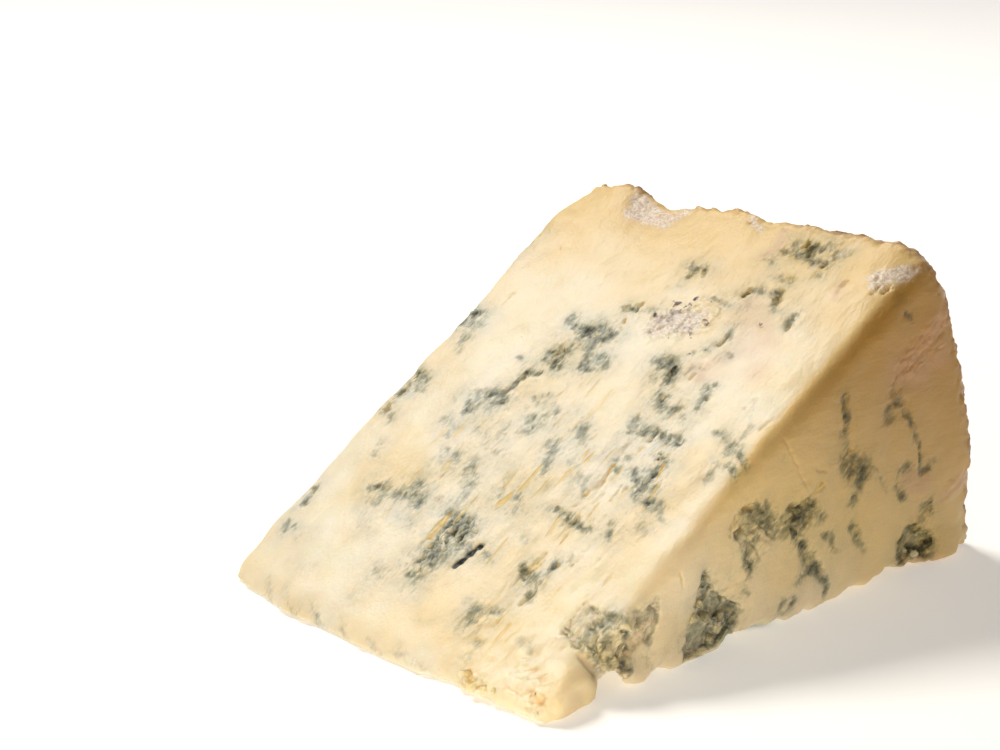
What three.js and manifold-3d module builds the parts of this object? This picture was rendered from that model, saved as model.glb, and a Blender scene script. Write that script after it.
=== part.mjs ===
// A wedge of blue-veined cheese, cut from a tall round wheel and lying on one of its two cut faces.
// Millimetres, +Z up. X runs through the height of the wheel, from the far end face to the near one.
// Y runs out from the blunt tip at the wheel's axis to the rind. The shape is worked out in the
// wheel's own frame, with the axis at y = 0, and moved at the end so that the origin is under the
// middle of the wedge.

import * as THREE from "three";
import { ImprovedNoise } from "three/addons/math/ImprovedNoise.js";
import { mergeVertices } from "three/addons/utils/BufferGeometryUtils.js";
import Module from "manifold-3d";

const wasm = await Module();
wasm.setup();

// Driving dimensions
const WHEEL_RADIUS = 101.9;
const CUT_ANGLE = THREE.MathUtils.degToRad(32.0);
const FAR_END_X = -38.1;
const NEAR_END_X = 35.4;
const NEAR_END_LEAN = 1.2;

// The blunt tip, where the two cuts stop short of the axis: how its lower edge runs, each point
// an x and a y, how far its upper edge lies behind that, and its height
const TIP_EDGE = [
  [-38.1, 4.2],
  [-35, 2.8],
  [-30, 1.7],
  [-22, 0.9],
  [11, 1.1],
  [15.5, 3.2],
  [18.5, 2.4],
  [26, 2.7],
  [31, 3.3],
  [33.5, 3.0],
  [36.5, 5.5],
];
const TIP_SLOPE = 1.6;
const TIP_HEIGHT = 3.0;

// How far each edge is rounded, the share of that left at the rind, and the share of the tip's
// height that rounding may take
const BOTTOM_ROUNDING = 0.7;
const CUT_ROUNDING = 1.4;
const NEAR_CUT_ROUNDING = 2.6;
const RIND_ROUNDING_SHARE = 0.45;
const RIND_ROUNDING_FROM = 0.93;
const BOTTOM_ROUNDING_TO = 0.05;
const TIP_ROUNDING_SHARE = 0.46;

// Where the middle of the finished wedge lies in the wheel's frame
const MIDDLE_X = -0.75;
const MIDDLE_Y = 51.95;

// Faces of the grid that the wedge is shaped from, along X, Y and Z, and how many of its lines
// crowd into the band along each rounded edge
const FACES_ACROSS = 28;
const FACES_ALONG = 38;
const FACES_UP = 16;
const EDGE_LINES = 2;
const EDGE_BAND = 2.2;
const LEAST_HEIGHT = 3 * EDGE_BAND;

// Relief of the cut paste, of the rind and of what is crumbled: how high it stands, how long
// its swells are, and the seed that sets where they fall
const CUT_RELIEF = { height: 0.28, length: 9, seed: 3.1 };
const RIND_RELIEF = { height: 0.5, length: 11, seed: 9.2 };
const RIND_PITS = { height: 0.45, length: 4.5, seed: 11.3 };
const BROKEN_RELIEF = { height: 0.8, length: 5, seed: 5.9 };
const RIND_DEPTH = 3;

// The lower cut stays flat: above this band of heights the relief is felt in full
const FLAT_BELOW = 0.2;
const FREE_ABOVE = 2.5;

// The corner of the tip at the near end is crumbled: its middle and how far that reaches
const BROKEN_CORNER = { x: 29, y: 8, z: 3, reach: 15 };

// Hollows and swells of the surface: the middle, the reach and the depth of each, a swell
// having a depth below zero
const HOLLOWS = [
  { name: "dip in the rind's top edge", x: -18, y: 86, z: 54, reach: 8, depth: 2.0 },
  { name: "worn far corner of the rind", x: -38, y: 85, z: 53, reach: 5, depth: 1.7 },
  { name: "worn near corner of the rind", x: 37, y: 86, z: 54, reach: 5, depth: 1.3 },
  { name: "swollen top of the rind", x: 25, y: 87, z: 53, reach: 10, depth: -0.6 },
  { name: "swollen side of the rind", x: 36, y: 98, z: 20, reach: 13, depth: -0.8 },
  { name: "nick low in the rind", x: 36, y: 101, z: 8, reach: 2.6, depth: 1.3 },
  { name: "foot of the rind", x: 36, y: 95, z: 0, reach: 6, depth: -2.2 },
  { name: "far edge drawn in towards the tip", x: -38, y: 12, z: 6, reach: 15, depth: 0.2 },
  { name: "swell of the far edge", x: -38, y: 76, z: 48, reach: 10, depth: -0.7 },
  { name: "fallen edge above the crumbled corner", x: 37, y: 18, z: 12, reach: 7, depth: 1.8 },
  { name: "mould pocket in the near end", x: 36, y: 39, z: 6.5, reach: 5.5, depth: 2.4 },
  { name: "mould pocket by the rind", x: 36, y: 86, z: 5, reach: 3.6, depth: 1.4 },
  { name: "thumb of paste at the corner", x: 29, y: 5, z: 7, reach: 6, depth: -1.0 },
];

// Places where the lower near edge is chipped clear of what the wedge lies on, the least lift
// that counts, and the band of heights over which a chip dies out
const LEAST_LIFT = 0.25;
const CHIPS_FROM = 1;
const CHIPS_TO = 8;
const CHIPS = [
  { name: "edge lifted beside the notch", x: 36, y: 18.5, reach: 2.6, lift: 3.0 },
  { name: "chip under the mould pocket", x: 36, y: 46, reach: 4, lift: 0.8 },
  { name: "hollow before the foot of the rind", x: 36, y: 82, reach: 5, lift: 0.9 },
];

// Cracks and tears that are open enough to be part of the form: the two ends, the width
// at the middle and the depth, on the upper cut (from the axis) or on the near end
const UPPER_CRACKS = [
  { name: "the widest crack", from: [2.9, 18.4], to: [4.1, 25.8], width: 1.7, depth: 4.0 },
  { name: "crack beside it", from: [16.5, 19.5], to: [21.5, 30], width: 0.8, depth: 2.0 },
  { name: "crack of the crumbled corner", from: [31, 17], to: [41, 15], width: 1.8, depth: 4.5 },
];
const NEAR_CRACKS = [
  { name: "crack down to the lower edge", from: [9.5, 12], to: [18, 1], width: 2.4, depth: 5.0 },
  { name: "arched crack", from: [40.5, 19], to: [49.5, 20.5], width: 0.9, depth: 2.0 },
  { name: "long dark fissure", from: [55, 17], to: [63, 4], width: 1.6, depth: 1.8 },
  { name: "fissure high up", from: [66, 34], to: [71, 19], width: 1.3, depth: 1.6 },
  { name: "upper arm of the mould pocket", from: [35.8, 14.2], to: [40.6, 7.2], width: 2.8, depth: 2.6 },
  { name: "lower arm of the mould pocket", from: [34.6, 9.6], to: [45.4, 4.6], width: 3.0, depth: 2.8 },
  { name: "foot of the mould pocket", from: [33.2, 2.2], to: [43.6, 2.6], width: 3.0, depth: 2.2 },
  { name: "pocket by the rind", from: [83.2, 4.2], to: [91.6, 4.6], width: 2.8, depth: 1.8 },
];

// A notch broken clear through the lower edge, its depth turned about the vertical away from X
const NOTCHES = [
  { name: "mouth of the crack", from: [16.6, -3.4], to: [16.6, 4.3], width: 4.4, depth: 11, turn: -43 },
];

// Crumbs that stand proud and are part of the solid
const CRUMBS = [
  { name: "crumb in the corner crack", x: 34.2, y: 15.5, z: 6, size: 2.1 },
  { name: "crumb over the corner crack", x: 34.2, y: 20, z: 9.5, size: 2.0 },
  { name: "crumb by the corner crack", x: 33.8, y: 19.5, z: 3.4, size: 2.4 },
  { name: "crumb in the pocket", x: 33.8, y: 38, z: 8, size: 2.2 },
  { name: "crumb in the pocket", x: 33.6, y: 41, z: 4.6, size: 2.3 },
];

// An uneven crumb: how far it departs from round, for a crumb of size 1
const CRUMB_RELIEF = { height: 0.3, length: 0.9, seed: 2.3 };

// How far the noise swings each way, the middle of a share, and how near two points count as one
const NOISE_SWING = 0.5;
const HALFWAY = 0.5;
const GRID_TOLERANCE = 1e-5;
const SOLID_TOLERANCE = 1e-4;

const UPWARD = new THREE.Vector3(0, 0, 1);
const noise = new ImprovedNoise();
const { clamp, lerp, smoothstep } = THREE.MathUtils;

/** A smooth random height of the given size and wavelength, the same every time. */
function swell(point, relief) {
  const { height, length, seed } = relief;
  const place = point.clone().divideScalar(length).addScalar(seed);
  return (height / NOISE_SWING) * noise.noise(place.x, place.y, place.z);
}

/** How much of a hollow or chip is felt at a distance from its middle, 1 down to 0. */
function fading(distance, reach) {
  return Math.exp(-((distance / reach) ** 2));
}

/** Moves a grid line's share of a length so that the first and last lines crowd the edges. */
function crowdEdges(share, faces, length) {
  const line = share * faces;
  const band = EDGE_BAND / length;
  if (line < EDGE_LINES) return (line / EDGE_LINES) * band;
  if (line > faces - EDGE_LINES) return 1 - ((faces - line) / EDGE_LINES) * band;
  return lerp(band, 1 - band, (line - EDGE_LINES) / (faces - 2 * EDGE_LINES));
}

/** How far the tip's lower edge lies from the axis at a place along the wheel. */
function tipEdgeAt(x) {
  const next = TIP_EDGE.findIndex((point) => point[0] > x);
  if (next < 1) return TIP_EDGE.at(next)[1];
  const [fromX, fromY] = TIP_EDGE[next - 1];
  const [toX, toY] = TIP_EDGE[next];
  return lerp(fromY, toY, smoothstep(x, fromX, toX));
}

/** The point of the wedge at three shares: from far to near, from tip to rind, from lower to upper cut. */
function wedgePoint(across, along, up) {
  const tipY = tipEdgeAt(lerp(FAR_END_X, NEAR_END_X, across)) + TIP_SLOPE * up;
  const tipZ = TIP_HEIGHT * up;
  const angle = CUT_ANGLE * up;
  const y = lerp(tipY, WHEEL_RADIUS * Math.cos(angle), along);
  const z = lerp(tipZ, WHEEL_RADIUS * Math.sin(angle), along);
  const lean = NEAR_END_LEAN * (z / (WHEEL_RADIUS * Math.sin(CUT_ANGLE)));
  return new THREE.Vector3(lerp(FAR_END_X, NEAR_END_X + lean, across), y, z);
}

/** How far the edges are rounded at a place of the wedge, given as the same three shares. */
function roundingAt(across, along, up) {
  const upper = lerp(CUT_ROUNDING, NEAR_CUT_ROUNDING, smoothstep(across, HALFWAY, 1));
  const height = lerp(TIP_HEIGHT, WHEEL_RADIUS * CUT_ANGLE, along);
  const atRind = lerp(1, RIND_ROUNDING_SHARE, smoothstep(along, RIND_ROUNDING_FROM, 1));
  const rounding = lerp(BOTTOM_ROUNDING, upper * atRind, smoothstep(up, BOTTOM_ROUNDING_TO, HALFWAY));
  return Math.min(rounding, TIP_ROUNDING_SHARE * height);
}

/** One corner of the unit grid, taken to its place on the rounded wedge. */
function gridPoint(corner) {
  const thickness = NEAR_END_X - FAR_END_X;
  const across = crowdEdges(corner.x + 0.5, FACES_ACROSS, thickness);
  const along = crowdEdges(corner.y + 0.5, FACES_ALONG, WHEEL_RADIUS);
  const height = lerp(TIP_HEIGHT, WHEEL_RADIUS * CUT_ANGLE, along);
  const up = crowdEdges(corner.z + 0.5, FACES_UP, Math.max(height, LEAST_HEIGHT));

  const rounding = roundingAt(across, along, up);
  const sizes = new THREE.Vector3(thickness, WHEEL_RADIUS, height);
  const place = new THREE.Vector3(across, along, up).multiply(sizes);
  const core = place.clone();
  core.x = clamp(core.x, rounding, sizes.x - rounding);
  core.y = clamp(core.y, rounding, sizes.y - rounding);
  core.z = clamp(core.z, rounding, sizes.z - rounding);
  const outward = place.sub(core).setLength(rounding);
  const rounded = core.add(outward).divide(sizes);
  return wedgePoint(rounded.x, rounded.y, rounded.z);
}

/** How far a point of the surface moves in, towards the paste, or out where below zero. */
function hollowAt(point) {
  let depth = 0;
  for (const hollow of HOLLOWS) {
    const distance = point.distanceTo(new THREE.Vector3(hollow.x, hollow.y, hollow.z));
    depth += hollow.depth * fading(distance, hollow.reach);
  }
  const rind = smoothstep(Math.hypot(point.y, point.z), WHEEL_RADIUS - RIND_DEPTH, WHEEL_RADIUS);
  const middle = new THREE.Vector3(BROKEN_CORNER.x, BROKEN_CORNER.y, BROKEN_CORNER.z);
  const broken = fading(point.distanceTo(middle), BROKEN_CORNER.reach);
  depth += swell(point, CUT_RELIEF);
  depth += rind * (swell(point, RIND_RELIEF) + swell(point, RIND_PITS));
  depth += broken * swell(point, BROKEN_RELIEF);
  return depth;
}

/** How far a point of the lower edge is lifted clear by the chips near it. */
function chipAt(point) {
  let lift = 0;
  for (const chip of CHIPS) {
    const distance = Math.hypot(point.x - chip.x, point.y - chip.y);
    lift += chip.lift * fading(distance, chip.reach);
  }
  return lift;
}

/** The whole wedge as one grid: rounded, with its hollows, its relief and its chipped lower edge. */
function wedgeGeometry() {
  const box = new THREE.BoxGeometry(1, 1, 1, FACES_ACROSS, FACES_ALONG, FACES_UP);
  box.deleteAttribute("normal");
  box.deleteAttribute("uv");
  const wedge = mergeVertices(box, GRID_TOLERANCE);
  const places = wedge.getAttribute("position");
  const point = new THREE.Vector3();
  for (let i = 0; i < places.count; i++) {
    const placed = gridPoint(point.fromBufferAttribute(places, i));
    places.setXYZ(i, placed.x, placed.y, placed.z);
  }
  wedge.computeVertexNormals();
  const normals = wedge.getAttribute("normal");
  const normal = new THREE.Vector3();
  for (let i = 0; i < places.count; i++) {
    point.fromBufferAttribute(places, i);
    normal.fromBufferAttribute(normals, i);
    const lift = chipAt(point) * (1 - smoothstep(point.z, CHIPS_FROM, CHIPS_TO));
    normal.z *= smoothstep(point.z, FLAT_BELOW, FREE_ABOVE);
    point.addScaledVector(normal, -hollowAt(point));
    places.setXYZ(i, point.x, point.y, point.z + (lift > LEAST_LIFT ? lift : 0));
  }
  wedge.deleteAttribute("normal");
  return wedge;
}

/** A closed geometry as a solid that can be cut and joined. */
function solidOf(geometry) {
  const bare = geometry.clone();
  bare.deleteAttribute("normal");
  bare.deleteAttribute("uv");
  const merged = mergeVertices(bare, SOLID_TOLERANCE);
  const vertProperties = new Float32Array(merged.getAttribute("position").array);
  const triVerts = new Uint32Array(merged.index.array);
  return new wasm.Manifold(new wasm.Mesh({ numProp: 3, vertProperties, triVerts }));
}

/** A solid back as a geometry that a mesh can show. */
function geometryOf(solid) {
  const { vertProperties, triVerts } = solid.getMesh();
  const geometry = new THREE.BufferGeometry();
  geometry.setAttribute("position", new THREE.BufferAttribute(vertProperties, 3));
  geometry.setIndex(new THREE.BufferAttribute(triVerts, 1));
  return geometry;
}

/** A lens-shaped blade that opens a crack between two points of a face, as deep as it says. */
function crackSolid(from, to, outward, crack) {
  const middle = from.clone().add(to).multiplyScalar(0.5);
  const run = to.clone().sub(from);
  const sideways = new THREE.Vector3().crossVectors(run, outward).normalize();
  const blade = new THREE.IcosahedronGeometry(1, 2);
  blade.scale(crack.width / 2, run.length() / 2, crack.depth);
  const axes = new THREE.Matrix4().makeBasis(sideways, run.normalize(), outward);
  blade.applyMatrix4(axes.setPosition(middle));
  return solidOf(blade);
}

/** A point of the upper cut face, given by its place along the wheel and its distance from the axis. */
function onUpperCut([x, radius]) {
  const across = (x - FAR_END_X) / (NEAR_END_X - FAR_END_X);
  const tip = wedgePoint(across, 0, 1);
  const share = (radius - tip.y) / (WHEEL_RADIUS - tip.y);
  return wedgePoint(across, share, 1).setX(x);
}

/** A point of the near end face, given by its distance from the axis and its height. */
function onNearEnd([y, z]) {
  const lean = NEAR_END_LEAN * (z / (WHEEL_RADIUS * Math.sin(CUT_ANGLE)));
  return new THREE.Vector3(NEAR_END_X + lean, y, z);
}

/** An uneven crumb of the given size, the seed giving each its own shape. */
function crumbSolid(crumb, seed) {
  const lump = new THREE.IcosahedronGeometry(1, 1);
  const places = lump.getAttribute("position");
  const middle = new THREE.Vector3(crumb.x, crumb.y, crumb.z);
  const point = new THREE.Vector3();
  for (let i = 0; i < places.count; i++) {
    point.fromBufferAttribute(places, i);
    const size = crumb.size * (1 + swell(point, { ...CRUMB_RELIEF, seed }));
    point.multiplyScalar(size).add(middle);
    places.setXYZ(i, point.x, point.y, point.z);
  }
  return solidOf(lump);
}

let solid = solidOf(wedgeGeometry());
CRUMBS.forEach((crumb, index) => {
  solid = solid.add(crumbSolid(crumb, CRUMB_RELIEF.seed * (index + 1)));
});
const upperOutward = new THREE.Vector3(0, -Math.sin(CUT_ANGLE), Math.cos(CUT_ANGLE));
for (const crack of UPPER_CRACKS) {
  solid = solid.subtract(crackSolid(onUpperCut(crack.from), onUpperCut(crack.to), upperOutward, crack));
}
const nearOutward = new THREE.Vector3(1, 0, 0);
for (const crack of NEAR_CRACKS) {
  solid = solid.subtract(crackSolid(onNearEnd(crack.from), onNearEnd(crack.to), nearOutward, crack));
}
for (const notch of NOTCHES) {
  const turned = nearOutward.clone().applyAxisAngle(UPWARD, THREE.MathUtils.degToRad(notch.turn));
  solid = solid.subtract(crackSolid(onNearEnd(notch.from), onNearEnd(notch.to), turned, notch));
}

const paste = new THREE.MeshStandardMaterial({ color: "#f3ddb0", roughness: 0.5, metalness: 0 });
const wedge = new THREE.Mesh(geometryOf(solid), paste);
wedge.name = "cheese_wedge";
wedge.position.set(-MIDDLE_X, -MIDDLE_Y, 0);

const part = new THREE.Group();
part.add(wedge);

export default part;
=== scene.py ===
import itertools
import logging
import math
from collections.abc import Callable
from dataclasses import dataclass, field
from enum import Enum
from typing import ClassVar

import bpy
import numpy as np
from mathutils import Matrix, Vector


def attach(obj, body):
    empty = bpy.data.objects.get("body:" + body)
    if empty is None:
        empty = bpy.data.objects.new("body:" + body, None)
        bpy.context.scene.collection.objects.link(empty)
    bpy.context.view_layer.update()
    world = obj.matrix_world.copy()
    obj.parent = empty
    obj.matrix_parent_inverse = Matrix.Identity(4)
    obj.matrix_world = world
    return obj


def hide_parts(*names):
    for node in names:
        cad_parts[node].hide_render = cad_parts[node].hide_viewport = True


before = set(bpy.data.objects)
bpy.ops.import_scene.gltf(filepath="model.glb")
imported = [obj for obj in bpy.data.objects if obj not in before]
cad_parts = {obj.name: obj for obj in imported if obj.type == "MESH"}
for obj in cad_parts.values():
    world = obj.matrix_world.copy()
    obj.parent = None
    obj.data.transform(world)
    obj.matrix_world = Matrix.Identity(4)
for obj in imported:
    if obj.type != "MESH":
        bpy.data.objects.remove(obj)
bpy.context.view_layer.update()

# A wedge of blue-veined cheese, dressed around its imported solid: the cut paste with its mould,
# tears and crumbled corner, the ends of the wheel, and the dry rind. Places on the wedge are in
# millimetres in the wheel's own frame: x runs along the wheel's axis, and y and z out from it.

log = logging.getLogger("cheese_wedge")
Socket = bpy.types.NodeSocket

MM = 0.001
NODE = "cheese_wedge"
BODY = "root"

# The wheel's frame, and the sizes of the wedge that the marks are placed by
MIDDLE = np.array([-0.75, 51.95, 0.0])
WHEEL_RADIUS = 101.9
CUT_ANGLE = math.radians(32.0)
CUT_SINE = math.sin(CUT_ANGLE)
CUT_COSINE = math.cos(CUT_ANGLE)
NEAR_END_X = 35.4
NEAR_END_LEAN = 1.2
FAR_END_X = -38.1
RIND_TOP = WHEEL_RADIUS * CUT_SINE

# The far top corner is full and square: where, and how far and how wide it swells
FAR_CORNER = np.array([-29.0, 85.5, 52.5])
FAR_CORNER_SWELL = 0.9
FAR_CORNER_REACH = 4.5

# How far the raised lip of a tear lies to the side of it
TEAR_LIP = np.array([0.5, 0.0, 0.0])

# How a ragged edge is pushed about: how far, and with swells how long
LONG_PUSH = (0.55, 2.6)
SHORT_PUSH = (0.3, 0.9)

# A mark is felt as far from its path as this many times its half width
FELT_REACH = 2.4

# How many veins lie in one of the clusters that are placed by chance
VEINS_IN_CLUSTER = 5

# Where the combed tears lie on the upper cut: their middle and spread, and the bounds they stay in
TEARS_MIDDLE = (1, 38)
TEARS_SPREAD = 13
TEARS_X = (-24, 30)
TEARS_RADIUS = (12, 68)

# Where the dry specks lie on the upper cut: the middle of their patch, and its spread
SPECKS_MIDDLE = (4.4, 76.0)
SPECKS_SPREAD = (3.6, 2.6)


def linear(colour: str) -> tuple[float, float, float, float]:
    """Turns an sRGB hex colour to the linear one that a shader takes.

    Args:
        colour: The colour, as "#rrggbb".

    Returns:
        Linear red, green and blue, with a full alpha.
    """
    parts = [int(colour[i : i + 2], 16) / 255 for i in (1, 3, 5)]
    return (*[p / 12.92 if p <= 0.04045 else ((p + 0.055) / 1.055) ** 2.4 for p in parts], 1.0)


def smoothstep(low: float, high: float, value: np.ndarray) -> np.ndarray:
    """A smooth rise from 0 at low to 1 at high.

    Args:
        low: Where the rise begins.
        high: Where it ends; below low for a fall.
        value: The numbers to take through it.

    Returns:
        An array like value, from 0 to 1.
    """
    share = np.clip((value - low) / (high - low), 0.0, 1.0)
    return share * share * (3 - 2 * share)


class Swell:
    """Smooth seeded noise in space, the same every run."""

    TABLE = 256

    def __init__(self, seed: int) -> None:
        """Draws the lattice of slopes for a seed."""
        draw = np.random.default_rng(seed)
        self.order = draw.permutation(self.TABLE)
        slopes = draw.normal(size=(self.TABLE, 3))
        self.slopes = slopes / np.linalg.norm(slopes, axis=1)[:, None]

    def once(self, places: np.ndarray) -> np.ndarray:
        """One layer of the noise, about -1 to 1, with swells one unit long.

        Args:
            places: An array of points, three numbers each.

        Returns:
            One height for each point.
        """
        cell = np.floor(places).astype(int)
        inside = places - cell
        ease = inside**3 * (inside * (inside * 6 - 15) + 10)
        total = np.zeros(len(places))
        last = self.TABLE - 1
        for corner in itertools.product((0, 1), repeat=3):
            step = np.array(corner)
            at = cell + step
            index = self.order[at[:, 0] & last]
            index = self.order[(index + at[:, 1]) & last]
            index = self.order[(index + at[:, 2]) & last]
            share = np.prod(np.where(step, ease, 1 - ease), axis=1)
            total += share * np.einsum("ij,ij->i", self.slopes[index], inside - step)
        return total * 1.6

    def __call__(self, places: np.ndarray, length: float, layers: int = 1) -> np.ndarray:
        """Noise of several layers, each half as long and half as high as the one before.

        Args:
            places: An array of points in millimetres.
            length: How long the longest swells are, in millimetres.
            layers: How many layers are added up.

        Returns:
            One height for each point, about -1 to 1.
        """
        total = np.zeros(len(places))
        for layer in range(layers):
            total += self.once(places / length * 2**layer + 17.3 * layer) / 2**layer
        return total


class Face(Enum):
    """A face of the wedge that marks are placed on."""

    UPPER = "upper cut"
    NEAR = "near end"
    FAR = "far end"
    LOWER = "lower cut"

    def place(self, points: np.ndarray) -> np.ndarray:
        """Takes places on this face into the wheel's frame.

        Args:
            points: Pairs: on a cut the x and the distance from the axis, on an end the y and z.

        Returns:
            The points in space, in millimetres.
        """
        u, v = points[:, 0], points[:, 1]
        if self is Face.UPPER:
            return np.stack([u, v * CUT_COSINE, v * CUT_SINE], axis=1)
        if self is Face.LOWER:
            return np.stack([u, v, np.zeros(len(u))], axis=1)
        x = NEAR_END_X + NEAR_END_LEAN * v / RIND_TOP if self is Face.NEAR else FAR_END_X + 0 * v
        return np.stack([x, u, v], axis=1)

    def flat(self, places: np.ndarray) -> tuple[np.ndarray, np.ndarray]:
        """Lays places out on the upper cut or the near end, the other way round from place.

        Args:
            places: Points in the wheel's frame.

        Returns:
            The pairs that each would have on this face, and how high it stands over the face.
        """
        if self is Face.UPPER:
            turned = places @ turn_to_cut()
            return turned[:, :2], turned[:, 2]
        plane = NEAR_END_X + NEAR_END_LEAN * places[:, 2] / RIND_TOP
        return places[:, 1:], places[:, 0] - plane


class Kind(Enum):
    """What a mark on the paste is, and the name of the attribute that carries it."""

    MOULD = "mould"
    TEAR = "tear"
    GAP = "gap"
    AMBER = "amber"
    BLUSH = "blush"
    BLOOM = "bloom_and_glints"
    CRUST = "crust"


@dataclass(frozen=True)
class Mark:
    """A vein, tear, gap or tint along a path on one face of the wedge."""

    kind: Kind
    face: Face
    strength: float
    width: float
    path: tuple[tuple[float, float], ...]

    def points(self) -> np.ndarray:
        """The path's points in the wheel's frame."""
        return self.face.place(np.array(self.path, float).reshape(-1, 2))

    def distance(self, places: np.ndarray) -> np.ndarray:
        """How far each place lies from the path.

        Args:
            places: Points in the wheel's frame.

        Returns:
            One distance in millimetres for each point.
        """
        points = self.points()
        best = np.linalg.norm(places - points[0], axis=1)
        for start, end in zip(points, points[1:]):
            run = end - start
            share = np.clip((places - start) @ run / max(run @ run, 1e-9), 0, 1)
            nearest = start + share[:, None] * run
            best = np.minimum(best, np.linalg.norm(places - nearest, axis=1))
        return best


def marks(kind: Kind, face: Face, rows: tuple) -> list[Mark]:
    """Marks of one kind on one face.

    Args:
        kind: What they are.
        face: The face that they lie on.
        rows: For each its strength, its width and the points that it runs through.

    Returns:
        The marks, in the rows' order.
    """
    return [Mark(kind, face, row[0], row[1], tuple(row[2:])) for row in rows]


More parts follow.
